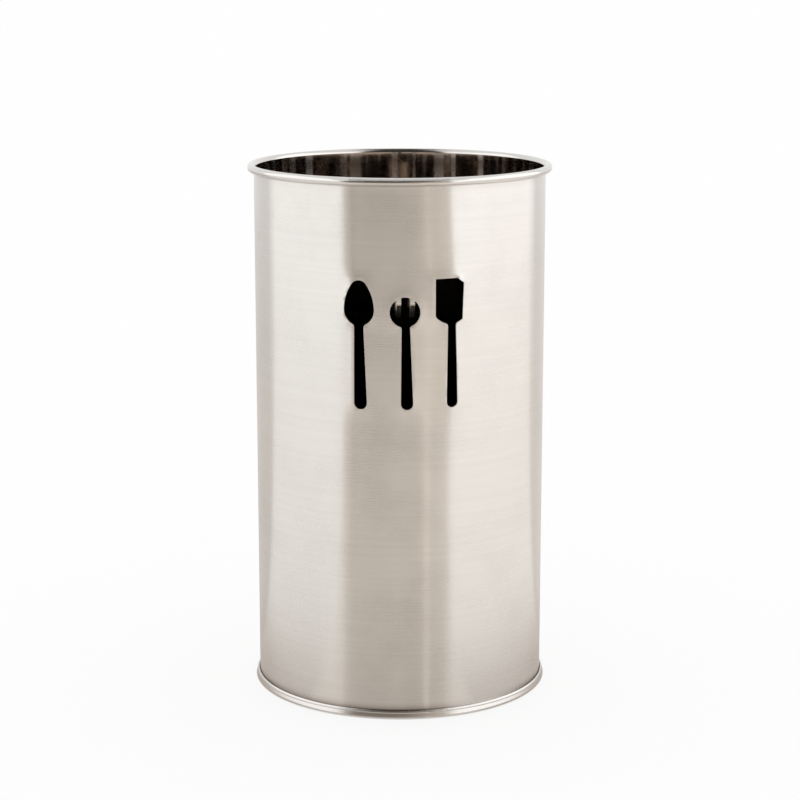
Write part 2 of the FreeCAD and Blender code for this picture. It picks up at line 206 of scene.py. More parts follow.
class TurnerCutout(bpy.types.PropertyGroup):
    """Turner cut through the front of the wall."""

    turn: angle("Turn", "Angle from the front", 19.86)
    foot: length("Foot", "Height of the end of the handle", 104.05)
    lean: length("Lean", "Sideways lean of the handle", 0.19)
    handle_width: length("Handle width", "Width of the round end", 3.66)
    neck_width: length("Neck width", "Width of the handle at the neck", 2.66)
    neck_fillet: length("Neck fillet", "Rounding beside the neck", 1.2)
    left_reach: length("Left reach", "From the neck to the left edge", 5.4)
    right_reach: length("Right reach", "From the neck to the right edge", 4.08)
    right_taper: length("Right taper", "How far the right edge slants in", 0.44)
    heel_shift: length("Heel shift", "Sideways shift of the heel", -0.3)
    heel_depth: length("Heel depth", "How far the heel bows down", 2.48)
    corner_radius: length("Corner radius", "Rounding of the left corner", 1.2)
    clip_width: length("Clip width", "Width of the clipped corner", 2.2)
    clip_height: length("Clip height", "Height of the clipped corner", 1.6)
    blade_height: length("Blade height", "From the heel to the top", 14.5)
    whole_length: length("Length", "From the end of the handle to the top", 41.59)
    top_rise: length("Top rise", "How far the top edge climbs to the right", 0.1)


class SteelFinish(bpy.types.PropertyGroup):
    """Colours and gloss of the steel."""

    steel: colour("Steel", "Brushed outside of the wall", (0.727, 0.71, 0.68))
    steel_shade: colour("Steel shade", "Deep lines and cloudy patches", (0.622, 0.603, 0.572))
    # Painted shade: the colour that darkens the creases at the foot of the wall and under the rim.
    grime: colour("Grime", "Dark metal in the creases", (0.23, 0.185, 0.155))
    mill: colour("Mill", "Smooth inside of the wall", (0.58, 0.52, 0.47))
    # Painted shade on the bent ends of the fork's tabs, darkest at their tips.
    stain: colour("Stain", "Stained tips of the tabs", (0.05, 0.045, 0.04))
    # A lighter colour on the dull ribbons of the inside, a painted reflection of streaks of light.
    ribbon: colour("Ribbon", "Dull ribbons of the inside", (0.78, 0.70, 0.65))
    bright: colour("Bright", "Rolled rim and seam", (0.63, 0.61, 0.585))
    weld: colour("Weld", "Weld bead", (0.52, 0.50, 0.47))
    straw: colour("Straw", "Heat tint beside the weld", (0.55, 0.47, 0.36))
    brushed_roughness: share("Brushed roughness", "Roughness of the brushed wall", 0.256)
    brushed_stretch: share("Brushed stretch", "How much further it spreads a reflection up and down", 0.936)
    mill_roughness: share("Mill roughness", "Roughness of the clear stretches of the inside", 0.05)
    ribbon_roughness: share("Ribbon roughness", "Roughness of the dull ribbons of the inside", 0.33)
    rim_roughness: share("Rim roughness", "Roughness of the rolled rim", 0.16)
    seam_roughness: share("Seam roughness", "Roughness of the rolled seam", 0.24)
    # Tip roughness is real; the three settings after it place the painted shade on the bent ends of the
    # fork's tabs and set how much plain metal colour is left at the tips.
    tip_roughness: share("Tip roughness", "Roughness of the stained tips", 0.2)
    stain_start: length("Stain start", "From the bend of a tab to where the stain begins", 0.7)
    stain_end: length("Stain end", "From the bend of a tab to where it is darkest", 4.5)
    stain_clean: share("Stain clean", "Clean metal left at the tips", 0.12)
    # The settings that follow set how deep the painted shade in the creases is, where and how far it is
    # lighter on the right, and how much deeper it is at the sides.
    crease_grime: share("Crease grime", "Grime in the creases", 0.78)
    wiped_grime: share("Wiped grime", "How much of it is wiped off on one side", 0.65)
    wiped_turn: angle("Wiped turn", "Middle of the wiped stretch, from the front", 35)
    wiped_width: angle("Wiped width", "How far the wiping reaches to each side", 17)
    side_grime: share("Side grime", "How much more grime lies at the sides", 0.2)
    side_start: angle("Side start", "Where that begins, from the front", 45)
    side_end: angle("Side end", "Where it is all there", 65)
    ribbon_stray: angle("Ribbon stray", "How far the edges of the ribbons wander", 2)
    # The levels that follow fade the ribbons and their painted reflection out deeper inside and next to the
    # rim, as painted shade.
    ribbon_low: length("Ribbon low", "Level where the ribbons begin to show", 122.0)
    ribbon_high: length("Ribbon high", "Level where they show fully", 166.0)
    ribbon_least: share("Ribbon least", "How much they show below that", 0.04)
    ribbon_fade: length("Ribbon fade", "Level where they begin to fade towards the rim", 167.0)
    ribbon_end: length("Ribbon end", "Level where that fading ends", 174.0)
    ribbon_last: share("Ribbon last", "How much they show there", 0.45)
    shoulder_turn: angle("Shoulder turn", "How far from the front the shoulder of the rim is pressed", 18)
    shoulder_end: angle("Shoulder end", "Where that has faded out", 27)


class StudioSetup(bpy.types.PropertyGroup):
    """Camera, floor and the cards that the steel mirrors."""

    camera_distance: length("Camera distance", "From the axis to the camera", 737.1)
    camera_height: length("Camera height", "From the table to the camera", 251.85)
    camera_pitch: angle("Camera pitch", "How far the camera looks down", 11.881)
    camera_field: angle("Camera field", "Field of view", 20.521)
    camera_aside: length("Camera aside", "From the middle to the camera, to the right", 0.08)
    floor_size: length("Floor size", "Side of the floor", 40000.0)
    floor_colour: colour("Floor colour", "Pale floor", (0.97, 0.97, 0.97))
    floor_wash: share("Floor wash", "How much of the floor is plain white to the camera", 0.78)
    sky: level("Sky", "Brightness of the surroundings", 1.0)
    card_distance: length("Card distance", "From the axis to the cards", 1700.0)
    box_height: length("Box height", "Height of the light boxes", 2000.0)
    card_steps: count("Card steps", "Steps across a card", 24)
    room_height: length("Room height", "Height of the dark room behind the camera", 5200.0)
    room_low: length("Room low", "Level where that room begins to get darker", 450.0)
    room_high: length("Room high", "Level where it is darkest", 950.0)
    upper_room: level("Upper room", "Brightness of its upper part", 0.15)
    room_colour: colour("Room colour", "Dark room behind the camera", (0.33, 0.278, 0.236))
    left_box_level: level("Left box level", "Brightness of the left light box", 1.5)
    right_box_level: level("Right box level", "Brightness of the right light box", 1.62)
    ceiling_level: level("Ceiling level", "Brightness of the ceiling over the crock", 0.1)
    front_table: colour("Front table", "Table in front of the crock", (0.86, 0.79, 0.725))
    # Front foot is a painted shadow of the crock on the mirrored table top.
    front_foot: colour("Front foot", "That table right at the foot", (0.62, 0.567, 0.52))
    front_reach: length("Front reach", "From the foot to where that table is fully bright", 200.0)
    front_lift: level("Front lift", "How much brighter that table gets further off", 1.25)
    lift_start: length("Lift start", "Where that begins", 650.0)
    lift_end: length("Lift end", "Where that ends", 1200.0)
    far_start: length("Far start", "Where the far bands of that table begin to show", 150.0)
    far_end: length("Far end", "Where they show fully", 750.0)
    focus: share("Focus", "Where the mirrored bands spread from, in wall radii before the axis", 0.53)
    table_level: length("Table level", "Height of the mirrored table tops", 0.1)
    table_start: level("Table start", "Where they begin, in seam radii", 1.01)
    left_table: colour("Left table", "Table under the left light box", (0.995, 0.975, 0.945))
    right_table: colour("Right table", "Table under the right light box", (1.06, 1.003, 0.957))
    right_back_table: colour("Right back table", "Table behind it on the right", (0.80, 0.755, 0.715))
    left_back_table: colour("Left back table", "Table behind it on the left", (0.72, 0.68, 0.645))
    # Side foot is a painted shadow of the crock on those table tops.
    side_foot: colour("Side foot", "Those tables right at the foot", (0.575, 0.51, 0.47))
    side_reach: length("Side reach", "From the foot to where those tables are fully bright", 110.0)


SETTINGS = {
    "crock_sizes": CrockSizes,
    "crock_spoon": SpoonCutout,
    "crock_fork": ForkCutout,
    "crock_turner": TurnerCutout,
    "crock_finish": SteelFinish,
    "crock_studio": StudioSetup,
}


def sizes():
    return bpy.context.scene.crock_sizes


def finish():
    return bpy.context.scene.crock_finish


# Outlines


def arc(centre, radius, start, end, steps, rise=None):
    """Points along an arc, without its first one. Angles are in radians. A rise makes it an ellipse."""
    turns = [start + (end - start) / steps * i for i in range(1, steps + 1)]
    rise = rise or radius
    return [(centre[0] + radius * math.cos(turn), centre[1] + rise * math.sin(turn)) for turn in turns]


def arc_between(centre, first, last, steps, clockwise=False):
    """Points along an arc around a centre from one point to another, without the first."""
    start = math.atan2(first[1] - centre[1], first[0] - centre[0])
    end = math.atan2(last[1] - centre[1], last[0] - centre[0])
    if clockwise:
        end = start - (start - end) % math.tau
    else:
        end = start + (end - start) % math.tau
    radius = math.hypot(first[0] - centre[0], first[1] - centre[1])
    points = arc(centre, radius, start, end, steps)
    points[-1] = last
    return points


# Rows to a radius of the dent and rows on each side of its middle, and steps along a straight stretch.
DENT_PARTS = 3
DENT_ROWS = 5
STRAIGHT_STEPS = 4


class Sheet:
    """Levels and radii of the rolled sheet, from the seam at its foot to the curl at its rim."""

    def __init__(self):
        s = sizes()
        self.thick = s.sheet
        self.wall = s.wall_radius
        self.curl = (s.rim_radius - s.wall_radius) / 2
        self.curl_centre = (s.wall_radius + self.curl, s.height - self.curl)
        self.chuck = s.wall_radius - s.clearance
        self.cover = s.wall_radius + s.sheet + s.clearance
        self.hook = self.cover + s.sheet + s.clearance
        self.hook_floor = s.sheet + s.clearance
        self.hook_radius = (self.hook + s.sheet - s.wall_radius) / 2
        self.hook_centre = (s.wall_radius + self.hook_radius, self.hook_floor + self.hook_radius)
        self.hook_end = s.seam_height - s.sheet - s.hook_clearance
        self.seam_radius = (s.seam_radius - self.cover) / 2
        self.seam_centre = (self.cover + self.seam_radius, s.seam_height - self.seam_radius)
        self.cover_end = self.hook_floor + s.sheet + s.hook_clearance

    def wall_face(self, row_height):
        """The face of the sheet that is the inside of the wall and the outside of the curl."""
        s = sizes()
        hook, curl = self.hook_centre, self.curl_centre
        points = [(hook[0] + self.hook_radius, self.hook_end), (hook[0] + self.hook_radius, hook[1])]
        points += arc(hook, self.hook_radius, 0.0, -math.pi, s.bend_steps)
        points += [(self.wall, up) for up in self.rows(hook[1], curl[1], row_height)]
        points += arc(curl, self.curl, math.pi, math.pi - s.curl_sweep, s.curl_steps)
        return points

    def rows(self, low, high, row_height):
        """Levels of the wall's rows of points, closer together at the dent."""
        s = sizes()
        number = round((high - low) / row_height)
        levels = [low + (high - low) * i / number for i in range(1, number + 1)]
        dent = s.dent_size / DENT_PARTS
        near_dent = [s.dent_level + dent * i for i in range(-DENT_ROWS, DENT_ROWS + 1)]
        if row_height < s.fine_row:
            return sorted({*levels, *near_dent})
        rows = round((s.fine_high - s.fine_low) / s.fine_row)
        beside_cuts = [s.fine_low + s.fine_row * i for i in range(rows + 1)]
        coarse = [up for up in levels if not s.fine_low - s.fine_row < up < s.fine_high + s.fine_row]
        dent_end = dent * (DENT_ROWS + 1)
        coarse = [up for up in coarse if abs(up - s.dent_level) > dent_end or up == levels[-1]]
        return sorted({*coarse, *beside_cuts, *near_dent})

    def base_layer(self, inset):
        """One face of the base from its middle to the seam: the underside, or a face that far inside it."""
        s = sizes()
        panel = s.panel_top - s.step_rise - self.thick + inset
        bend = s.panel_bend
        shoulder = (self.chuck - self.thick - bend, s.panel_top - s.step_rise - self.thick - bend)
        land = self.thick + s.land_bend
        land_in = (self.chuck + s.land_bend, land)
        land_out = (s.seam_radius - land, land)
        step = s.step_radius - (self.thick - inset) * math.tan(math.pi / 8)
        points = [(0.0, panel + s.step_rise)]
        points += [(step * i / STRAIGHT_STEPS, panel + s.step_rise) for i in range(1, STRAIGHT_STEPS + 1)]
        points.append((step + s.step_rise, panel))
        points.append((shoulder[0], panel))
        points += arc(shoulder, bend + inset, math.pi / 2, 0.0, s.bend_steps)
        points.append((self.chuck - self.thick + inset, land))
        points += arc(land_in, land - inset, math.pi, math.pi * 1.5, s.bend_steps)
        points.append((land_out[0], inset))
        points += arc(land_out, land - inset, -math.pi / 2, 0.0, s.bend_steps)
        return points

    def base_section(self):
        """The whole section of the base: along the underside, over the seam and back along the top."""
        s = sizes()
        steps = s.bend_steps
        points = self.base_layer(0.0)
        foot = points[-1]
        half = (s.seam_radius - s.seam_crown - self.cover) / 2
        crest = self.cover + half
        round_foot = s.seam_height - s.seam_shoulder
        lean = s.seam_crown / (round_foot - foot[1])
        first = math.atan(lean * s.seam_shoulder / half)
        head = (crest + half * math.cos(first), round_foot + s.seam_shoulder * math.sin(first))
        shares = [i / STRAIGHT_STEPS for i in range(1, STRAIGHT_STEPS)]
        points += [(foot[0] + (head[0] - foot[0]) * i, foot[1] + (head[1] - foot[1]) * i) for i in shares]
        points.append(head)
        points += arc((crest, round_foot), half, first, math.pi / 2, steps, rise=s.seam_shoulder)
        points += arc((crest, self.seam_centre[1]), half, math.pi / 2, math.pi, steps,
                      rise=s.seam_height - self.seam_centre[1])
        points.append((self.cover, self.cover_end))
        points.append((self.cover + self.thick, self.cover_end))
        points.append((self.cover + self.thick, self.seam_centre[1]))
        points += arc(self.seam_centre, self.seam_radius - self.thick, math.pi, 0.0, steps)
        points += reversed(self.base_layer(self.thick))
        return points


def handle_outline(cut, heel, radius, steps):
    """Outline of a handle, from the heel of the head on its left, round the end and up on its right."""
    half_neck = cut.neck_width / 2
    half_end = cut.handle_width / 2
    reach = radius + cut.neck_fillet
    touches = {}
    middles = {}
    for side in (-1, 1):
        across = side * (half_neck + cut.neck_fillet) - heel[0]
        drop = math.sqrt(reach ** 2 - across ** 2)
        middles[side] = (heel[0] + across, heel[1] - drop)
        touches[side] = (heel[0] + across * radius / reach, heel[1] - drop * radius / reach)
    points = [touches[-1]]
    points += arc_between(middles[-1], touches[-1], (-half_neck, middles[-1][1]), steps, clockwise=True)
    points.append((cut.lean - half_end, half_end))
    points += arc_between((cut.lean, half_end), points[-1], (cut.lean + half_end, half_end), steps * 2)
    points.append((half_neck, middles[1][1]))
    points += arc_between(middles[1], points[-1], touches[1], steps, clockwise=True)
    return points


def spoon_outline(cut, steps):
    """Handle and egg-shaped bowl of the spoon."""
    bowl, tip = cut.bowl_radius, cut.tip_radius
    rise = cut.whole_length - cut.bowl_height
    climb = cut.bowl_height - tip
    flank = (bowl ** 2 - tip ** 2 + climb ** 2) / (2 * (bowl - tip))
    touch = ((flank - bowl) * tip / (flank - tip), rise + flank * climb / (flank - tip))
    heel = (0.0, rise)
    points = handle_outline(cut, heel, bowl, steps)
    first = points[0]
    points += arc_between(heel, points[-1], (bowl, rise), steps)
    points += arc_between((bowl - flank, rise), points[-1], touch, steps)
    points += arc_between((0.0, rise + climb), touch, (-touch[0], touch[1]), steps * 2)
    points += arc_between((flank - bowl, rise), points[-1], (-bowl, rise), steps)
    points += arc_between(heel, points[-1], first, steps)
    return points[:-1]


def fork_outline(cut, steps):
    """Handle and round head of the fork, down to the bends of the two tabs that part its tines."""
    head = (cut.head_shift, cut.head_rise)
    near = cut.tine_width / 2
    far = near + cut.tab_width
    bend = cut.head_rise + cut.head_radius - cut.tab_drop

    def brow(across):
        return across, head[1] + math.sqrt(cut.head_radius ** 2 - (across - head[0]) ** 2)

    points = handle_outline(cut, head, cut.head_radius, steps)
    first = points[0]
    points += arc_between(head, points[-1], brow(far), steps * 2)
    points += [(far, bend), (near, bend), brow(near)]
    points += arc_between(head, points[-1], brow(-near), steps)
    points += [(-near, bend), (-far, bend), brow(-far)]
    points += arc_between(head, points[-1], first, steps * 2)
    return points[:-1]


def turner_outline(cut, steps):
    """Handle and blade of the turner, with one clipped corner."""
    left, right = -cut.left_reach, cut.right_reach
    heel_right = right - cut.right_taper
    top = cut.whole_length
    high_top = top + cut.top_rise
    half_chord = cut.heel_shift + cut.left_reach
    radius = (half_chord ** 2 + cut.heel_depth ** 2) / (2 * cut.heel_depth)
    heel = (cut.heel_shift, top - cut.blade_height + radius)
    inset = half_chord - cut.corner_radius
    drop = math.sqrt((radius - cut.corner_radius) ** 2 - inset ** 2)
    stretch = radius / (radius - cut.corner_radius)
    touch = (heel[0] - inset * stretch, heel[1] - drop * stretch)
    corner = (left + cut.corner_radius, heel[1] - drop)
    points = handle_outline(cut, heel, radius, steps)
    first = points[0]
    heel_end = (heel_right, heel[1] - math.sqrt(radius ** 2 - (heel_right - heel[0]) ** 2))
    points += arc_between(heel, points[-1], heel_end, steps)
    points.append((right, high_top - cut.clip_height))
    points.append((right - cut.clip_width, high_top))
    points.append((left, top))
    points.append((left, corner[1]))
    points += arc_between(corner, points[-1], touch, steps)
    points += arc_between(heel, points[-1], first, steps)
    return points[:-1]


OUTLINES = {"spoon": spoon_outline, "fork": fork_outline, "turner": turner_outline}


def widen(outline, reach):
    """The same outline, set out by a small distance."""
    following = [*outline[1:], outline[0]]
    area = sum(a[0] * b[1] - a[1] * b[0] for a, b in zip(outline, following))
    out = math.copysign(reach, area)
    points = []
    for before, here, after in zip([outline[-1], *outline], outline, following):
        along = Vector(after) - Vector(before)
        along.normalize()
        points.append((here[0] + along.y * out, here[1] - along.x * out))
    return points


# Modelling steps

# Points closer than these are merged after a spin and in a finished piece.
SPIN_MERGE = 0.001 * MM
PIECE_MERGE = 0.0005 * MM

# Where a punch begins, in wall radii, where it ends, in rim radii, and steps around the die roll.
PUNCH_START = 0.9
PUNCH_END = 1.1
ROLL_STEPS = 3


def start_point(name, place):
    """A new piece that is a single point, left in edit mode with that point selected."""
    bpy.ops.object.select_all(action="DESELECT")
    bpy.ops.mesh.primitive_plane_add(size=MM, location=(0.0, 0.0, 0.0))
    piece = bpy.context.object
    piece.name = name
    piece.data.name = name
    bpy.ops.object.mode_set(mode="EDIT")
    bpy.ops.mesh.select_all(action="SELECT")
    bpy.ops.mesh.merge(type="CENTER")
    bpy.ops.transform.translate(value=place)
    return piece


def draw_on(points):
    """Draw edges on from the selected point, one extrusion to each point."""
    for before, after in zip(points, points[1:]):
        bpy.ops.mesh.extrude_region_move(TRANSFORM_OT_translate={"value": after - before})


def spin_about_axis(sweep, steps):
    """Spin what is selected about the axis of the crock, counterclockwise from above."""
    bpy.ops.mesh.spin(steps=steps, angle=-sweep, center=(0.0, 0.0, 0.0), axis=(0.0, 0.0, 1.0))


def spin_section(name, section, start, sweep, steps):
    """Draw a section at an azimuth and spin it about the axis."""
    points = [Vector((r * math.cos(start), r * math.sin(start), z)) for r, z in section]
    piece = start_point(name, points[0])
    draw_on(points)
    bpy.ops.mesh.select_all(action="SELECT")
    spin_about_axis(sweep, steps)
    bpy.ops.mesh.select_all(action="SELECT")
    bpy.ops.mesh.remove_doubles(threshold=SPIN_MERGE)
    bpy.ops.mesh.normals_make_consistent(inside=False)
    bpy.ops.object.mode_set(mode="OBJECT")
    return piece


def apply_modifier(piece, kind, name, **settings):
    """Add a modifier to the active piece, set it and apply it."""
    bpy.context.view_layer.objects.active = piece
    modifier = piece.modifiers.new(name, kind)
    for key, setting in settings.items():
        setattr(modifier, key, setting)
    bpy.ops.object.modifier_apply(modifier=name)


def face_wall_outwards(piece):
    """Turn the faces of an open sheet so that its wall faces away from the axis."""
    middle = min(piece.data.polygons, key=lambda f: abs(f.center.z - HEIGHT / 2))
    outward = Vector((middle.center.x, middle.center.y, 0.0))
    if middle.normal.dot(outward) < 0.0:
        bpy.ops.object.mode_set(mode="EDIT")
        bpy.ops.mesh.select_all(action="SELECT")
        bpy.ops.mesh.flip_normals()
        bpy.ops.object.mode_set(mode="OBJECT")


def clean_solid(piece, smooth_angle):
    """Merge doubles, point all faces outwards and shade the round stretches smooth."""
    bpy.ops.object.select_all(action="DESELECT")
    piece.select_set(True)
    bpy.context.view_layer.objects.active = piece
    bpy.ops.object.mode_set(mode="EDIT")
    bpy.ops.mesh.select_all(action="SELECT")
    bpy.ops.mesh.remove_doubles(threshold=PIECE_MERGE)
    bpy.ops.mesh.select_all(action="SELECT")
    bpy.ops.mesh.normals_make_consistent(inside=False)
    bpy.ops.object.mode_set(mode="OBJECT")
    bpy.ops.object.shade_smooth_by_angle(angle=smooth_angle)


def settle(piece, node):
    """Let a finished piece stand for its node on the one body."""
    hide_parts(node)
    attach(piece, "root")


def cutter(name, cut, outline, material):
    """A prism of a cut-out's outline, standing across the front of the wall."""
    s = sizes()
    face = s.wall_radius + s.sheet + s.edge_lift
    sine, cosine = math.sin(cut.turn), math.cos(cut.turn)

    def place(across, up, depth):
        return Vector((across * cosine + depth * sine, across * sine - depth * cosine, cut.foot + up))

    turns = [math.pi / 2 * i / ROLL_STEPS for i in range(ROLL_STEPS + 1)]
    flare = [(s.die_roll * (1 - math.cos(a)), face - s.die_roll * (1 - math.sin(a))) for a in turns]
    rings = [[place(a, up, s.wall_radius * PUNCH_START) for a, up in outline]]
    for reach, radius in flare:
        widened = widen(outline, reach)
        rings.append([place(a, up, math.sqrt(radius ** 2 - a ** 2)) for a, up in widened])
    rings.append([place(a, up, s.rim_radius * PUNCH_END) for a, up in widen(outline, s.die_roll)])
    piece = start_point(name, rings[0][0])
    draw_on(rings[0])
    bpy.ops.mesh.select_all(action="SELECT")
    bpy.ops.mesh.edge_face_add()
    for before, after in zip(rings, rings[1:]):
        shift = after[0] - before[0]
        bpy.ops.mesh.extrude_region_move(TRANSFORM_OT_translate={"value": shift})
        bpy.ops.object.mode_set(mode="OBJECT")
        for vertex in [v for v in piece.data.vertices if v.select]:
            origin = vertex.co - shift
            vertex.co = min(zip(before, after), key=lambda pair: (pair[0] - origin).length_squared)[1]
        bpy.ops.object.mode_set(mode="EDIT")
    bpy.ops.mesh.select_all(action="SELECT")
    bpy.ops.mesh.normals_make_consistent(inside=False)
    bpy.ops.object.mode_set(mode="OBJECT")
    piece.data.materials.append(material)
    return piece


# Materials


class Graph:
    """Adds nodes to a tree and links them."""

    def __init__(self, tree):
        self.tree = tree

    def add(self, kind, inputs=None, **settings):
        node = self.tree.nodes.new(kind)
        for key, setting in settings.items():
            setattr(node, key, setting)
        for key, given in (inputs or {}).items():
            self.feed(node.inputs[key], given)
        return node

    def feed(self, socket, given):
        if isinstance(given, bpy.types.NodeSocket):
            self.tree.links.new(given, socket)
        else:
            socket.default_value = given

    def group(self, tree, inputs=None):
        return self.add("ShaderNodeGroup", inputs, node_tree=tree).outputs

    def math(self, operation, first, second=0.0, third=0.0):
        inputs = {0: first, 1: second, 2: third}
        return self.add("ShaderNodeMath", inputs, operation=operation).outputs[0]

    def vector(self, operation, first, second=(0.0, 0.0, 0.0)):
        return self.add("ShaderNodeVectorMath", {0: first, 1: second}, operation=operation).outputs

    def axes(self, given):
        return self.add("ShaderNodeSeparateXYZ", {0: given}).outputs

    def here(self):
        """The place that is shaded, in the frame of its piece."""
        return self.add("ShaderNodeTexCoord").outputs["Object"]

    def remap(self, given, low, high, to_low, to_high):
        inputs = {"Value": given, "From Min": low, "From Max": high, "To Min": to_low, "To Max": to_high}
        return self.add("ShaderNodeMapRange", inputs, clamp=True).outputs["Result"]

    def spread(self, noise, to_low, to_high):
        """The usual range of a noise, spread between two values."""
        return self.remap(noise, 0.3, 0.7, to_low, to_high)

    def mix(self, factor, first, second):
        node = self.add("ShaderNodeMix", {"Factor": factor}, data_type="RGBA")
        self.feed(node.inputs[6], first)
        self.feed(node.inputs[7], second)
        return node.outputs[2]

    def blend(self, factor, first, second):
        return self.add("ShaderNodeMix", {0: factor, 2: first, 3: second}, data_type="FLOAT").outputs[0]

    def curve(self, given, points):
        """A value read off a line of straight stretches between points above 0 and below 1."""
        node = self.add("ShaderNodeFloatCurve", {"Value": given})
        line = node.mapping.curves[0].points
        for at, value in points:
            line.new(at, value).handle_type = "VECTOR"
        line.remove(line[-1])
        line.remove(line[0])
        node.mapping.update()
        return node.outputs[0]

    def noise(self, vector, scale, detail=2.0, roughness=0.5):
        inputs = {"Vector": vector, "Scale": scale, "Detail": detail, "Roughness": roughness}
        return self.add("ShaderNodeTexNoise", inputs).outputs["Fac"]


def rgba(given):
    return (*given, 1.0)


def shared_group(build):
    """Let a builder of a node group run once, and hand out the same group after that."""
    name = build.__name__

    def group():
        if name not in bpy.data.node_groups:
            build(name)
        return bpy.data.node_groups[name]

    return group


def new_group(name, inputs, outputs):
    """An empty node group with named value sockets."""
    tree = bpy.data.node_groups.new(name, "ShaderNodeTree")
    for label, default in inputs.items():
        socket = tree.interface.new_socket(label, in_out="INPUT", socket_type="NodeSocketFloat")
        socket.default_value = default
    for label in outputs:
        tree.interface.new_socket(label, in_out="OUTPUT", socket_type="NodeSocketFloat")
    graph = Graph(tree)
    return graph, graph.add("NodeGroupInput").outputs, graph.add("NodeGroupOutput").inputs


@shared_group
def rolled_place(name):
    """Where a point lies on the rolled wall: along the sheet from the front and up it."""
    g, _, result = new_group(name, {}, ("Along", "Up"))
    axes = g.axes(g.here())
    around = g.math("ARCTAN2", axes["X"], g.math("MULTIPLY", axes["Y"], -1.0))
    g.feed(result["Along"], g.math("MULTIPLY", around, WALL_RADIUS))
    g.feed(result["Up"], axes["Z"])


@shared_group
def belt_brushing(name):
    """Fine lines that run along the sheet, as an abrasive belt leaves them, and wider bands."""
    inputs = {"Line Height": 0.3 * MM, "Line Length": 60.0 * MM}
    g, given, result = new_group(name, inputs, ("Lines", "Bands"))
    place = g.group(rolled_place())
    along = g.math("DIVIDE", place["Along"], given["Line Length"])
    up = g.math("DIVIDE", place["Up"], given["Line Height"])
    fine = g.add("ShaderNodeCombineXYZ", {"X": along, "Y": up})
    g.feed(result["Lines"], g.noise(fine.outputs[0], 1.0, 3.0, 0.6))
    wide = {"X": g.math("MULTIPLY", along, 0.6), "Y": g.math("MULTIPLY", up, 0.16)}
    wide = g.add("ShaderNodeCombineXYZ", wide)
    g.feed(result["Bands"], g.noise(wide.outputs[0], 1.0))


@shared_group
def cloudy_patches(name):
    """Soft patches, as handling and uneven polishing leave them."""
    g, given, result = new_group(name, {"Patch Size": 20.0 * MM}, ("Cloud",))
    g.feed(result["Cloud"], g.noise(g.here(), g.math("DIVIDE", 1.0, given["Patch Size"]), 3.0, 0.55))


@shared_group
def crease_shade(name):
    """Painted shade where the wall runs into the seam at its foot or the roll at its rim."""
    f = finish()
    inputs = {"Foot Level": 3.0 * MM, "Foot Reach": 3.0 * MM,
              "Rim Level": 175.2 * MM, "Rim Reach": 0.8 * MM}
    g, given, result = new_group(name, inputs, ("Crease",))
    place = g.group(rolled_place())
    above = g.math("SUBTRACT", place["Up"], given["Foot Level"])
    below = g.math("SUBTRACT", given["Rim Level"], place["Up"])
    nearest = g.math("MINIMUM", g.math("DIVIDE", above, given["Foot Reach"]),
                     g.math("DIVIDE", below, given["Rim Reach"]))
    nearest = g.add("ShaderNodeClamp", {"Value": nearest}).outputs[0]
    around = g.math("DIVIDE", place["Along"], WALL_RADIUS)
    # The painted shade is lighter in one stretch on the right and deeper at the sides.
    off = g.math("DIVIDE", g.math("SUBTRACT", around, f.wiped_turn), f.wiped_width)
    eased = g.math("EXPONENT", g.math("MULTIPLY", g.math("MULTIPLY", off, off), -1.0))
    grime = g.math("MULTIPLY_ADD", eased, -f.wiped_grime, f.crease_grime)
    sides = g.remap(g.math("ABSOLUTE", around), f.side_start, f.side_end, 0.0, f.side_grime)
    depth = g.math("POWER", g.math("SUBTRACT", 1.0, nearest), 2.2)
    g.feed(result["Crease"], g.math("MULTIPLY", g.math("ADD", grime, sides), depth))


def one_shader(name, kind, inputs):
    """A material of one shader: the material, its graph and the shader."""
    material = bpy.data.materials.new(name)
    material.use_nodes = True
    material.node_tree.nodes.clear()
    graph = Graph(material.node_tree)
    shader = graph.add(kind, inputs)
    graph.add("ShaderNodeOutputMaterial", {"Surface": shader.outputs[0]})
    return material, graph, shader


def new_metal(name):
    """A bare metal: the material, its graph and the inputs of its shader."""
    material, graph, shader = one_shader(name, "ShaderNodeBsdfPrincipled", {"Metallic": 1.0})
    return material, graph, shader.inputs


def new_light(name, tint, strength=1.0):
    """An even light: the material, its graph and the shader that gives the light."""
    return one_shader(name, "ShaderNodeEmission", {"Color": rgba(tint), "Strength": strength})


def lines_of(g, height, along):
    """Brushing whose lines have a height and a length in millimetres."""
    return g.group(belt_brushing(), {"Line Height": height * MM, "Line Length": along * MM})


def cloud_of(g, size):
    """Cloudy patches of a size in millimetres."""
    return g.group(cloudy_patches(), {"Patch Size": size * MM})["Cloud"]


def hump(g, middle, reach, lift):
    """Height of a soft hump in the wall. Middle and reach are along the sheet and up it."""
    place = g.group(rolled_place())
    aside = g.math("DIVIDE", g.math("SUBTRACT", place["Along"], middle[0]), reach[0])
    above = g.math("DIVIDE", g.math("SUBTRACT", place["Up"], middle[1]), reach[1])
    square = g.math("ADD", g.math("MULTIPLY", aside, aside), g.math("MULTIPLY", above, above))
    return g.math("MULTIPLY", g.math("EXPONENT", g.math("MULTIPLY", square, -1.0)), lift)


def sprung_sheet(g):
    """Height, in shading only, of the sprung sheet beside the turner and at its clipped corner."""
    s = sizes()
    cut = bpy.context.scene.crock_turner
    corner = (cut.turn * WALL_RADIUS + cut.right_reach - cut.clip_width * 0.6,
              cut.foot + cut.whole_length - cut.clip_height * 0.5)
    swell = (s.swell_turn * WALL_RADIUS, s.swell_level)
    return g.math("ADD", hump(g, corner, (s.corner_reach, s.corner_reach), s.corner_lift),
                  hump(g, swell, (s.swell_width, s.swell_height), s.swell_lift))


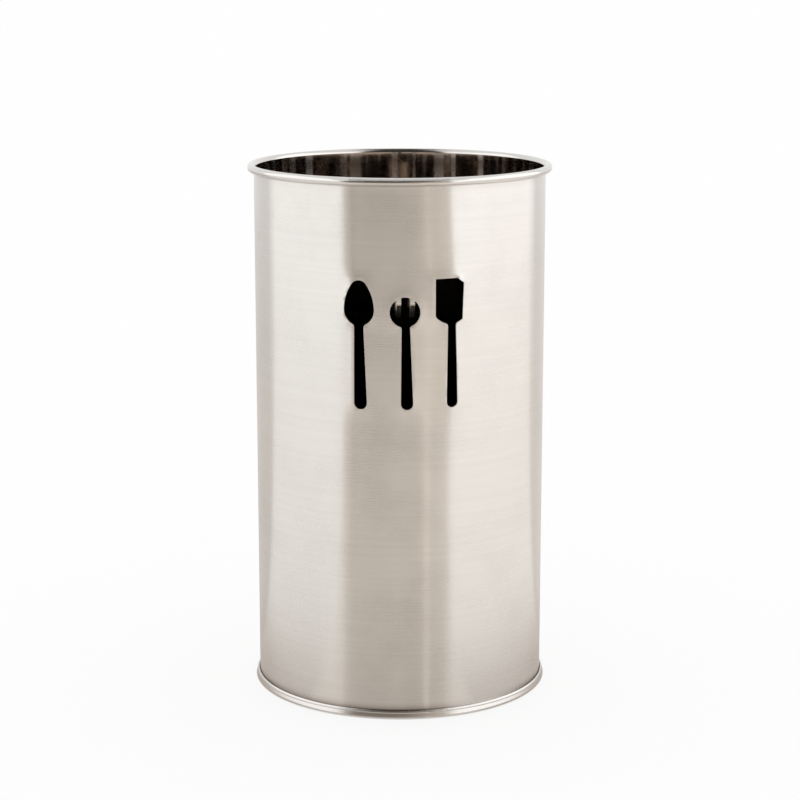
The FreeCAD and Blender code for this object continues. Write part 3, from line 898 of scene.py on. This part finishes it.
def brushed_wall():
    """Outside of the wall: belt-brushed along the sheet, a little cloudy from handling, with painted shade
    in the creases.
    """
    f = finish()
    material, g, shader = new_metal("brushed_wall")
    lines = lines_of(g, 0.22, 70.0)
    cloud = cloud_of(g, 22.0)
    depth = g.math("ADD", g.spread(lines["Lines"], 0.0, 0.12), g.spread(lines["Bands"], 0.0, 0.2))
    depth = g.math("ADD", depth, g.remap(cloud, 0.45, 0.75, 0.0, 0.4))
    tone = g.mix(depth, rgba(f.steel), rgba(f.steel_shade))
    # Painted shade in the creases at the foot and under the rim.
    g.feed(shader["Base Color"], g.mix(g.group(crease_shade())["Crease"], tone, rgba(f.grime)))
    rough = g.math("ADD", g.spread(lines["Lines"], -0.014, 0.014), g.remap(cloud, 0.35, 0.7, -0.01, 0.03))
    g.feed(shader["Roughness"], g.math("ADD", rough, f.brushed_roughness))
    sprung = g.add("ShaderNodeBump", {"Height": sprung_sheet(g), "Strength": 1.0, "Distance": 1.0})
    scratches = {"Height": lines["Lines"], "Strength": 0.007, "Distance": 0.02 * MM}
    scratches["Normal"] = sprung.outputs[0]
    g.feed(shader["Normal"], g.add("ShaderNodeBump", scratches).outputs[0])
    shader["Anisotropic"].default_value = f.brushed_stretch
    shader["Anisotropic Rotation"].default_value = 0.25
    g.feed(shader["Tangent"], g.add("ShaderNodeTangent", direction_type="RADIAL", axis="Z").outputs[0])
    return material


# Middle and width of each of the ribbons in degrees from the back, and how dull it is, which also sets how
# much painted reflection it shows.
RIBBONS = ((-150, 4, 0.7), (-120, 8, 0.7), (-72, 2.5, 0.55), (-64, 2.5, 0.55), (-50.5, 5, 0.65),
           (-41, 5, 0.9), (-23.5, 2, 0.6), (-19, 6, 0.72), (-1.9, 2.6, 1.0), (6.1, 1.5, 0.7),
           (17, 5, 1.0), (23, 2, 0.95), (36, 3.5, 1.0), (49, 2, 0.5), (62, 3, 0.35), (108, 6, 0.7),
           (140, 3, 0.6))


def mill_inside():
    """Inside of the wall: smooth rolled sheet with upright ribbons of duller metal, whose lighter colour is
    a painted reflection, faded out deeper inside and next to the rim as painted shade.
    """
    f = finish()
    material, g, shader = new_metal("mill_inside")
    place = g.group(rolled_place())
    upright = {"X": place["Along"], "Y": g.math("MULTIPLY", place["Up"], 0.1)}
    upright = g.add("ShaderNodeCombineXYZ", upright).outputs[0]
    axes = g.axes(g.here())
    stray = g.math("SUBTRACT", g.noise(upright, 1.0 / (5.0 * MM)), 0.5)
    from_back = g.math("ARCTAN2", axes["X"], axes["Y"])
    from_back = g.math("ADD", from_back, g.math("MULTIPLY", stray, f.ribbon_stray))
    ribbons = g.remap(g.noise(upright, 1.0 / (2.2 * MM), 1.0), 0.5, 0.7, 0.1, 0.34)
    for middle, width, strength in RIBBONS:
        off = g.math("ABSOLUTE", g.math("SUBTRACT", from_back, math.radians(middle)))
        edge = math.radians(width / 2)
        ribbons = g.math("MAXIMUM", ribbons, g.remap(off, edge * 0.6, edge * 1.3, strength, 0.0))
    # Painted shade: the ribbons and their painted reflection fade out deeper inside and next to the rim.
    shown = g.remap(place["Up"], f.ribbon_low, f.ribbon_high, f.ribbon_least, 1.0)
    ribbons = g.math("MULTIPLY", ribbons, shown)
    shown = g.remap(place["Up"], f.ribbon_fade, f.ribbon_end, 1.0, f.ribbon_last)
    ribbons = g.math("MULTIPLY", ribbons, shown)
    # Painted reflection: the ribbons take a lighter colour as well as more roughness.
    g.feed(shader["Base Color"], g.mix(ribbons, rgba(f.mill), rgba(f.ribbon)))
    g.feed(shader["Roughness"], g.remap(ribbons, 0.0, 1.0, f.mill_roughness, f.ribbon_roughness))
    return material


# How far up the plain roll faces, from -1 to 1, and how far up the pressed roll faces there.
OUTER_ROLL = ((-0.99, -0.99), (-0.26, -0.26), (-0.17, 0.02), (0.0, 0.1), (0.17, 0.18), (0.32, 0.88),
              (0.5, 0.91), (0.8, 0.95), (0.99, 0.997))
INNER_ROLL = ((-0.99, -0.99), (-0.1, -0.1), (0.0, 0.36), (0.5, 0.56), (0.75, 0.75), (0.99, 0.99))


def pressed_roll(g):
    """The way the rim faces: rollers press its inside, and at the front its shoulder, a little flat."""
    f = finish()
    normal = g.add("ShaderNodeNewGeometry").outputs["Normal"]
    outward = g.vector("NORMALIZE", g.vector("MULTIPLY", g.here(), (1.0, 1.0, 0.0))[0])[0]
    facing = g.vector("DOT_PRODUCT", outward, normal)["Value"]
    plain = g.remap(g.axes(normal)["Z"], -1.0, 1.0, 0.0, 1.0)
    outer = g.curve(plain, [(a / 2 + 0.5, b / 2 + 0.5) for a, b in OUTER_ROLL])
    inner = g.curve(plain, [(a / 2 + 0.5, b / 2 + 0.5) for a, b in INNER_ROLL])
    aside = g.math("ABSOLUTE", g.math("DIVIDE", g.group(rolled_place())["Along"], WALL_RADIUS))
    front = g.remap(aside, f.shoulder_turn, f.shoulder_end, 1.0, 0.0)
    outer = g.blend(front, plain, outer)
    pressed = g.blend(g.math("GREATER_THAN", facing, 0.0), inner, outer)
    rise = g.math("MULTIPLY_ADD", pressed, 2.0, -1.0)
    run = g.math("SQRT", g.math("SUBTRACT", 1.0, g.math("MULTIPLY", rise, rise)))
    run = g.math("MULTIPLY", run, g.math("SIGN", facing))
    sideways = g.add("ShaderNodeVectorMath", {0: outward, "Scale": run}, operation="SCALE").outputs[0]
    upwards = g.add("ShaderNodeCombineXYZ", {"Z": rise}).outputs[0]
    return g.vector("ADD", sideways, upwards)[0]


def shaded_tab(bend):
    """Bent ends of the fork's tabs: rubbed smooth by the punch, with painted shade that darkens them
    towards their tips.
    """
    f = finish()
    material, g, shader = new_metal("shaded_tab")
    up = g.group(rolled_place())["Up"]
    # Painted shade: the tabs get darker from past the bend to their tips.
    unshaded = g.remap(up, bend - f.stain_end, bend - f.stain_start, f.stain_clean, 1.0)
    g.feed(shader["Base Color"], g.mix(unshaded, rgba(f.stain), rgba(f.mill)))
    g.feed(shader["Roughness"], g.remap(unshaded, 0.0, 1.0, f.tip_roughness, f.mill_roughness))
    return material


def bright_roll(name, roughness, pressed=False):
    """Rolled edges: burnished by the rollers, with fine lines that run round them."""
    f = finish()
    material, g, shader = new_metal(name)
    lines = lines_of(g, 0.12, 25.0)["Lines"]
    g.feed(shader["Base Color"], g.mix(g.spread(lines, 0.0, 0.4), rgba(f.bright), rgba(f.steel)))
    g.feed(shader["Roughness"], g.spread(lines, roughness - 0.03, roughness + 0.05))
    if pressed:
        g.feed(shader["Normal"], pressed_roll(g))
    return material


def punched_edge():
    """Cut faces of the sheet, torn by the punch."""
    f = finish()
    material, g, shader = new_metal("punched_edge")
    cloud = cloud_of(g, 0.3)
    g.feed(shader["Base Color"], g.mix(cloud, rgba(f.steel), rgba(f.weld)))
    g.feed(shader["Roughness"], g.spread(cloud, 0.35, 0.55))
    return material


def weld_bead():
    """Weld up the back: dull ripples with a trace of heat tint."""
    f = finish()
    material, g, shader = new_metal("weld_bead")
    cloud = cloud_of(g, 3.0)
    g.feed(shader["Base Color"], g.mix(g.remap(cloud, 0.4, 0.7, 0.0, 0.6), rgba(f.weld), rgba(f.straw)))
    g.feed(shader["Roughness"], g.spread(cloud, 0.26, 0.42))
    return material


def drawn_wire():
    """Wire in the rim: plain drawn steel."""
    f = finish()
    material, g, shader = new_metal("drawn_wire")
    lines = lines_of(g, 0.08, 12.0)["Lines"]
    g.feed(shader["Base Color"], g.mix(g.spread(lines, 0.0, 1.0), rgba(f.mill), rgba(f.weld)))
    g.feed(shader["Roughness"], g.spread(lines, 0.25, 0.4))
    return material


def pressed_panel():
    """Panel of the base: smooth mill sheet with faint press marks."""
    f = finish()
    material, g, shader = new_metal("pressed_panel")
    cloud = cloud_of(g, 14.0)
    depth = g.remap(cloud, 0.35, 0.7, 0.0, 0.8)
    g.feed(shader["Base Color"], g.mix(depth, rgba(f.steel), rgba(f.steel_shade)))
    g.feed(shader["Roughness"], g.remap(cloud, 0.35, 0.7, 0.2, 0.34))
    return material


WHITE = (1.0, 1.0, 1.0)

# Edges of the cards and of the table tops, in degrees from the front.
ROOM_SPAN = (-44, 38.5)
LEFT_BOX_SPAN = (-121, -44)
RIGHT_BOX_SPAN = (38.5, 128.5)
FRONT_SPAN = (-44, 35)
SIDE_SPANS = {
    "right_table": (35, 122.5),
    "right_back_table": (122.5, 180),
    "left_back_table": (180, 244),
    "left_table": (244, 316),
}

# Brightness of the room and the front table, by degrees from the front.
ROOM_BANDS = ((-44, 0.85), (-40, 0.75), (-36.5, 0.5), (-33, 0.75), (-24, 0.7), (2, 0.75), (12, 1.2),
              (21, 1.75), (32, 2.0), (36, 1.5), (39, 1.2))
TABLE_BANDS = ((-59, 1.16), (-46, 1.16), (-43.5, 1.08), (-38, 1.05), (-34.5, 1.03), (-22, 1.03), (0, 1.08),
               (12, 1.03), (18.5, 1.04), (20.5, 1.34), (22.5, 1.34), (25, 1.06), (35, 1.09), (38, 1.17),
               (50, 1.17), (59, 1.1))
FAR_BANDS = ((-59, 1.0), (-39.5, 1.0), (-37, 0.7), (-34.5, 1.0), (59, 1.0))
BAND_LIMIT = 60
BRIGHTEST = 4.0


def banded(g, bands, origin=0.0):
    """Brightness by the angle from the front, seen from a place that far in front of the axis."""
    axes = g.axes(g.here())
    around = g.math("ARCTAN2", axes["X"], g.math("MULTIPLY_ADD", axes["Y"], -1.0, -origin))
    limit = math.radians(BAND_LIMIT)
    across = g.remap(around, -limit, limit, 0.0, 1.0)
    points = [(turn / BAND_LIMIT / 2 + 0.5, bright / BRIGHTEST) for turn, bright in bands]
    return g.math("MULTIPLY", g.curve(across, points), BRIGHTEST)


def banded_room(studio):
    """The room behind the camera, with a few lighter and darker upright bands and a dark upper part."""
    material, g, shader = new_light("room_card", studio.room_colour)
    upper = g.remap(g.axes(g.here())["Z"], studio.room_low, studio.room_high, 0.0, 1.0)
    g.feed(shader.inputs["Strength"], g.blend(upper, banded(g, ROOM_BANDS), studio.upper_room))
    return material


def shade_table(g, shader, foot, table, reach):
    """Darken a table top towards the foot of the crock, a painted shadow of the crock. Gives the distance
    from the axis.
    """
    away = g.vector("LENGTH", g.here())["Value"]
    inputs = {"Value": away, "From Min": SEAM_RADIUS, "From Max": SEAM_RADIUS + reach}
    outer = g.add("ShaderNodeMapRange", inputs, interpolation_type="SMOOTHSTEP").outputs["Result"]
    g.feed(shader.inputs["Color"], g.mix(outer, rgba(foot), rgba(table)))
    return away


def side_table(studio, name):
    """A table top beside or behind the crock."""
    material, g, shader = new_light(name, WHITE)
    shade_table(g, shader, studio.side_foot, getattr(studio, name), studio.side_reach)
    return material


def front_table(studio):
    """The table top in front of the crock, with a few lighter and darker bands, lighter further off."""
    material, g, shader = new_light("front_table", WHITE)
    away = shade_table(g, shader, studio.front_foot, studio.front_table, studio.front_reach)
    focus = sizes().wall_radius * studio.focus
    bright = g.remap(away, studio.lift_start, studio.lift_end, 1.0, studio.front_lift)
    bright = g.math("MULTIPLY", bright, banded(g, TABLE_BANDS, focus))
    far = g.remap(away, studio.far_start, studio.far_end, 0.0, 1.0)
    bright = g.math("MULTIPLY", bright, g.blend(far, 1.0, banded(g, FAR_BANDS, focus)))
    g.feed(shader.inputs["Strength"], bright)
    return material


def pale_floor(studio):
    """Matt pale floor that washes out to white and keeps the shadow."""
    material, g, wash = new_light("pale_floor", WHITE)
    surface = wash.outputs[0].links[0].to_socket
    matt = g.add("ShaderNodeBsdfDiffuse", {"Color": rgba(studio.floor_colour)})
    path = g.add("ShaderNodeLightPath").outputs
    seen = g.math("ADD", path["Is Camera Ray"], path["Is Glossy Ray"])
    seen = g.math("MINIMUM", g.math("ADD", seen, path["Is Transmission Ray"]), 1.0)
    inputs = {0: g.math("MULTIPLY", seen, studio.floor_wash), 1: matt.outputs[0], 2: wash.outputs[0]}
    g.feed(surface, g.add("ShaderNodeMixShader", inputs).outputs[0])
    return material


# Operators

# Places of the finishes among the materials of a piece.
WALL, INSIDE, RIM, EDGE, TAB = range(5)

# A face of a tab that faces the front more than this is plain wall, and less than this is a cut edge.
PLAIN_FACING = 0.97
EDGE_FACING = 0.7

# How far the dent is worked out, in its radii, and rows of points to a ripple of the weld.
DENT_REACH = 3.0
RIPPLE_ROWS = 4


def half_weld():
    """Half of the angle that the weld takes up."""
    s = sizes()
    return s.weld_width / (s.wall_radius + s.sheet) / 2


def thicken(piece):
    """Give a rolled face the thickness of the sheet."""
    apply_modifier(piece, "SOLIDIFY", "sheet", thickness=sizes().sheet, offset=1.0, use_even_offset=True)


def give_finishes(piece, sheet):
    """Set the material of each face by where it lies: outside, inside or in the rolled rim."""
    s = sizes()
    for face in piece.data.polygons:
        if face.center.z > s.height - 2 * sheet.curl:
            face.material_index = RIM
        elif from_axis(face.center) < s.wall_radius + s.sheet / 2:
            face.material_index = INSIDE
        else:
            face.material_index = WALL


class CROCK_OT_sleeve(bpy.types.Operator):
    """Roll the wall, curl its rim, turn its hook and punch the three cut-outs"""

    bl_idname = "crock.sleeve"
    bl_label = "Sleeve"

    def execute(self, context):
        s = sizes()
        sheet = Sheet()
        start = math.pi / 2 + half_weld()
        sweep = math.tau - 2 * half_weld()
        piece = spin_section("crock_sleeve", sheet.wall_face(s.row_height), start, sweep, s.turns)
        face_wall_outwards(piece)
        self.wave_wall(piece, sheet)
        self.dent_wall(piece)
        cuts = [(name, getattr(context.scene, "crock_" + name)) for name in OUTLINES]
        for name, cut in cuts:
            self.spring_edges(piece, cut, OUTLINES[name](cut, s.bend_steps))
        thicken(piece)
        rim = bright_roll("rolled_rim", finish().rim_roughness, pressed=True)
        edge = punched_edge()
        for material in (brushed_wall(), mill_inside(), rim, edge):
            piece.data.materials.append(material)
        give_finishes(piece, sheet)
        for name, cut in cuts:
            self.punch(piece, name, cutter(name + "_punch", cut, OUTLINES[name](cut, s.bend_steps), edge))
        self.hang_tabs(piece, context.scene.crock_fork)
        clean_solid(piece, s.smooth_angle)
        settle(piece, "sleeve")
        return {"FINISHED"}

    def wave_wall(self, piece, sheet):
        """Leave the slow waves of hand-fed rollers in the plain part of the wall."""
        s = sizes()
        waves = bpy.data.textures.new("rolling_waves", "CLOUDS")
        waves.noise_scale = s.wave_size
        waves.noise_depth = 1
        wall = piece.vertex_groups.new(name="wall")
        low = s.panel_top + s.sheet
        high = sheet.curl_centre[1] - sheet.curl
        fade = s.wave_size / 2
        for vertex in piece.data.vertices:
            if from_axis(vertex.co) < s.wall_radius + s.clearance:
                inside = min(vertex.co.z - low, high - vertex.co.z) / fade
                wall.add([vertex.index], max(0.0, min(1.0, inside)), "REPLACE")
        apply_modifier(piece, "DISPLACE", "waves", texture=waves, texture_coords="LOCAL",
                       vertex_group="wall", strength=s.wave_depth, mid_level=0.5)

    def dent_wall(self, piece):
        """Press the small dent into the wall."""
        s = sizes()
        inward = Vector((-math.sin(s.dent_turn), math.cos(s.dent_turn), 0.0))
        middle = -inward * s.wall_radius + Vector((0.0, 0.0, s.dent_level))
        for vertex in piece.data.vertices:
            away = (vertex.co - middle).length / s.dent_size
            if away < DENT_REACH:
                vertex.co += inward * s.dent_depth * math.exp(-away * away)

    def spring_edges(self, piece, cut, outline):
        """Let the wall beside a cut-out spring out, as a punched sheet does when it is rolled."""
        s = sizes()
        points = [Vector(point) for point in outline]
        sides = list(zip(points, [*points[1:], points[0]]))
        middle = Vector((math.sin(cut.turn), -math.cos(cut.turn), 0.0))
        along = Vector((math.cos(cut.turn), math.sin(cut.turn), 0.0))
        for vertex in piece.data.vertices:
            flat = Vector((vertex.co.dot(along), vertex.co.z - cut.foot))
            near = abs(flat.x) <= s.spring_aside and -s.spring_below < flat.y < s.spring_above
            if near and vertex.co.dot(middle) >= 0.0:
                away = min(self.distance(flat, *side) for side in sides)
                lift = s.edge_lift * math.exp(-away / s.edge_reach)
                vertex.co += Vector((vertex.co.x, vertex.co.y, 0.0)).normalized() * lift

    @staticmethod
    def distance(point, first, last):
        """From a point to a straight edge."""
        run = last - first
        part = max(0.0, min(1.0, (point - first).dot(run) / run.length_squared))
        return (point - first - run * part).length

    def punch(self, piece, name, tool):
        """Punch a cut-out through the wall."""
        apply_modifier(piece, "BOOLEAN", name, object=tool, operation="DIFFERENCE", solver="EXACT",
                       material_mode="TRANSFER")
        bpy.data.objects.remove(tool)

    def hang_tabs(self, piece, cut):
        """Add the bent ends of the two tabs between the tines of the fork."""
        s = sizes()
        root = s.wall_radius + s.edge_lift * cut.tab_root
        bend = (root - cut.tab_bend_radius, cut.foot + cut.head_rise + cut.head_radius - cut.tab_drop)
        section = [(root, bend[1])]
        section += arc(bend, cut.tab_bend_radius, 0.0, -cut.tab_bend, s.bend_steps)
        across, up = section[-1]
        tip = (across - cut.tab_reach * math.sin(cut.tab_bend), up - cut.tab_reach * math.cos(cut.tab_bend))
        section.append(tip)
        sweep = cut.tab_width / (s.wall_radius + s.sheet)
        offset = math.asin((cut.tine_width + cut.tab_width) / 2 / (s.wall_radius + s.sheet))
        materials = [*piece.data.materials, shaded_tab(bend[1])]
        tabs = []
        for middle in (cut.turn - offset, cut.turn + offset):
            tab = spin_section("fork_tab", section, middle - sweep / 2 - math.pi / 2, sweep, cut.tab_steps)
            face_wall_outwards(tab)
            thicken(tab)
            for material in materials:
                tab.data.materials.append(material)
            self.finish_tab(tab, middle)
            tabs.append(tab)
        bpy.ops.object.select_all(action="DESELECT")
        for part in (*tabs, piece):
            part.select_set(True)
        bpy.context.view_layer.objects.active = piece
        bpy.ops.object.join()

    def finish_tab(self, tab, turn):
        """Brushed at the root, rubbed smooth past the bend with painted shade towards the tips, and with
        torn edges.
        """
        outward = Vector((math.sin(turn), -math.cos(turn), 0.0))
        for face in tab.data.polygons:
            facing = face.normal.dot(outward)
            if facing > PLAIN_FACING:
                face.material_index = WALL
            elif abs(facing) < EDGE_FACING:
                face.material_index = EDGE
            else:
                face.material_index = TAB


class CROCK_OT_side_weld(bpy.types.Operator):
    """Lay the weld that closes the sheet up the back"""

    bl_idname = "crock.side_weld"
    bl_label = "Side weld"

    def execute(self, context):
        s = sizes()
        sheet = Sheet()
        half = half_weld()
        section = sheet.wall_face(s.weld_pitch / RIPPLE_ROWS)
        piece = spin_section("crock_side_weld", section, math.pi / 2 - half, 2 * half, s.weld_steps)
        face_wall_outwards(piece)
        thicken(piece)
        self.raise_bead(piece, half)
        made = bpy.data.materials
        for material in (weld_bead(), made["mill_inside"], made["rolled_rim"]):
            piece.data.materials.append(material)
        give_finishes(piece, sheet)
        clean_solid(piece, s.weld_smooth_angle)
        settle(piece, "side_weld")
        return {"FINISHED"}

    def raise_bead(self, piece, half):
        """Raise the rippled crown outside. The inside is dressed flush."""
        s = sizes()
        low = s.panel_top + s.weld_margin
        high = s.height - (s.rim_radius - s.wall_radius) - s.weld_margin
        for vertex in piece.data.vertices:
            radius = from_axis(vertex.co)
            if not low < vertex.co.z < high or radius < s.wall_radius + s.sheet / 2:
                continue
            across = math.atan2(vertex.co.x, vertex.co.y) / half
            bow = s.weld_pitch * s.weld_bow * across ** 2
            wave = math.cos(math.tau * (vertex.co.z + bow) / s.weld_pitch)
            ripple = 1.0 - s.weld_ripple + s.weld_ripple * wave
            scale = 1.0 + s.weld_crown * (1.0 - across ** 2) * ripple / radius
            vertex.co.x *= scale
            vertex.co.y *= scale


class CROCK_OT_rim_wire(bpy.types.Operator):
    """Finish the wire that the rim is rolled around"""

    bl_idname = "crock.rim_wire"
    bl_label = "Rim wire"

    def execute(self, context):
        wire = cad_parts["rim_wire"]
        material = drawn_wire()
        for slot in wire.material_slots:
            slot.material = material
        return {"FINISHED"}


class CROCK_OT_base_pan(bpy.types.Operator):
    """Press the base and roll its edge over the hook of the sleeve"""

    bl_idname = "crock.base_pan"
    bl_label = "Base pan"

    def execute(self, context):
        s = sizes()
        piece = spin_section("crock_base_pan", Sheet().base_section(), 0.0, math.tau, s.turns)
        piece.data.materials.append(pressed_panel())
        piece.data.materials.append(bright_roll("rolled_seam", finish().seam_roughness))
        for face in piece.data.polygons:
            face.material_index = 1 if from_axis(face.center) > s.wall_radius else 0
        clean_solid(piece, s.smooth_angle)
        settle(piece, "base_pan")
        return {"FINISHED"}


class CROCK_OT_studio(bpy.types.Operator):
    """Set the floor, the surroundings, the cards and the camera"""

    bl_idname = "crock.studio"
    bl_label = "Studio"

    def execute(self, context):
        studio = context.scene.crock_studio
        context.scene.view_settings.view_transform = "Standard"
        self.lay_floor(studio)
        self.light_surroundings(context, studio)
        left = new_light("left_box", WHITE, studio.left_box_level)[0]
        right = new_light("right_box", WHITE, studio.right_box_level)[0]
        self.stand_card(studio, "room_card", ROOM_SPAN, studio.room_height, banded_room(studio))
        self.stand_card(studio, "left_box", LEFT_BOX_SPAN, studio.box_height, left)
        self.stand_card(studio, "right_box", RIGHT_BOX_SPAN, studio.box_height, right)
        self.lay_table(studio, "front_table", FRONT_SPAN, front_table(studio))
        for name, span in SIDE_SPANS.items():
            self.lay_table(studio, name, span, side_table(studio, name))
        self.hang_ceiling(studio)
        self.place_camera(context, studio)
        return {"FINISHED"}

    def lay_floor(self, studio):
        bpy.ops.object.select_all(action="DESELECT")
        bpy.ops.mesh.primitive_plane_add(size=studio.floor_size, location=(0.0, 0.0, 0.0))
        floor = bpy.context.object
        floor.name = "floor"
        floor.data.materials.append(pale_floor(studio))

    def light_surroundings(self, context, studio):
        world = bpy.data.worlds.new("studio")
        world.use_nodes = True
        background = world.node_tree.nodes["Background"]
        background.inputs["Color"].default_value = rgba(WHITE)
        background.inputs["Strength"].default_value = studio.sky
        context.scene.world = world

    def stand_card(self, studio, name, span, height, material):
        """A curved card around the table."""
        section = [(studio.card_distance, 0.0), (studio.card_distance, height)]
        self.sweep(studio, name, span, section, material)

    def lay_table(self, studio, name, span, material):
        """A part of the table top that the steel mirrors."""
        inner = sizes().seam_radius * studio.table_start
        section = [(inner, studio.table_level), (studio.card_distance, studio.table_level)]
        self.sweep(studio, name, span, section, material)

    def sweep(self, studio, name, span, section, material):
        """Spin a section between two angles in degrees from the front."""
        first, last = span
        start = math.radians(first - 90.0)
        card = spin_section(name, section, start, math.radians(last - first), studio.card_steps)
        self.show_to_steel(card, material)

    def hang_ceiling(self, studio):
        """The dim ceiling over the crock."""
        reaches = (0.0, studio.card_distance / 2, studio.card_distance)
        section = [(reach, studio.room_height) for reach in reaches]
        ceiling = spin_section("ceiling", section, 0.0, math.tau, 2 * studio.card_steps)
        self.show_to_steel(ceiling, new_light("ceiling", studio.room_colour, studio.ceiling_level)[0])

    def show_to_steel(self, card, material):
        """Let only reflections see a card."""
        card.data.materials.append(material)
        card.visible_camera = False
        card.visible_diffuse = False
        card.visible_shadow = False

    def place_camera(self, context, studio):
        camera = bpy.data.cameras.new("camera")
        camera.angle = studio.camera_field
        viewer = bpy.data.objects.new("camera", camera)
        viewer.location = (studio.camera_aside, -studio.camera_distance, studio.camera_height)
        viewer.rotation_euler = (math.pi / 2 - studio.camera_pitch, 0.0, 0.0)
        context.scene.collection.objects.link(viewer)
        context.scene.camera = viewer


class CROCK_PT_panel(bpy.types.Panel):
    """Steps and sizes of the crock"""

    bl_label = "Utensil crock"
    bl_idname = "CROCK_PT_panel"
    bl_space_type = "VIEW_3D"
    bl_region_type = "UI"
    bl_category = "Crock"

    def draw(self, context):
        for operator in OPERATORS:
            self.layout.operator(operator.bl_idname)
        for name, group in SETTINGS.items():
            box = self.layout.box()
            box.label(text=group.__doc__)
            settings = getattr(context.scene, name)
            for key in group.__annotations__:
                box.prop(settings, key)


OPERATORS = (CROCK_OT_sleeve, CROCK_OT_side_weld, CROCK_OT_rim_wire, CROCK_OT_base_pan, CROCK_OT_studio)
CLASSES = (*SETTINGS.values(), *OPERATORS, CROCK_PT_panel)


def register():
    for entry in CLASSES:
        bpy.utils.register_class(entry)
    for name, group in SETTINGS.items():
        setattr(bpy.types.Scene, name, bpy.props.PointerProperty(type=group))


def unregister():
    for name in SETTINGS:
        delattr(bpy.types.Scene, name)
    for entry in reversed(CLASSES):
        bpy.utils.unregister_class(entry)


def main():
    register()
    bpy.ops.crock.sleeve()
    bpy.ops.crock.side_weld()
    bpy.ops.crock.rim_wire()
    bpy.ops.crock.base_pan()
    bpy.ops.crock.studio()


if __name__ == "__main__":
    main()
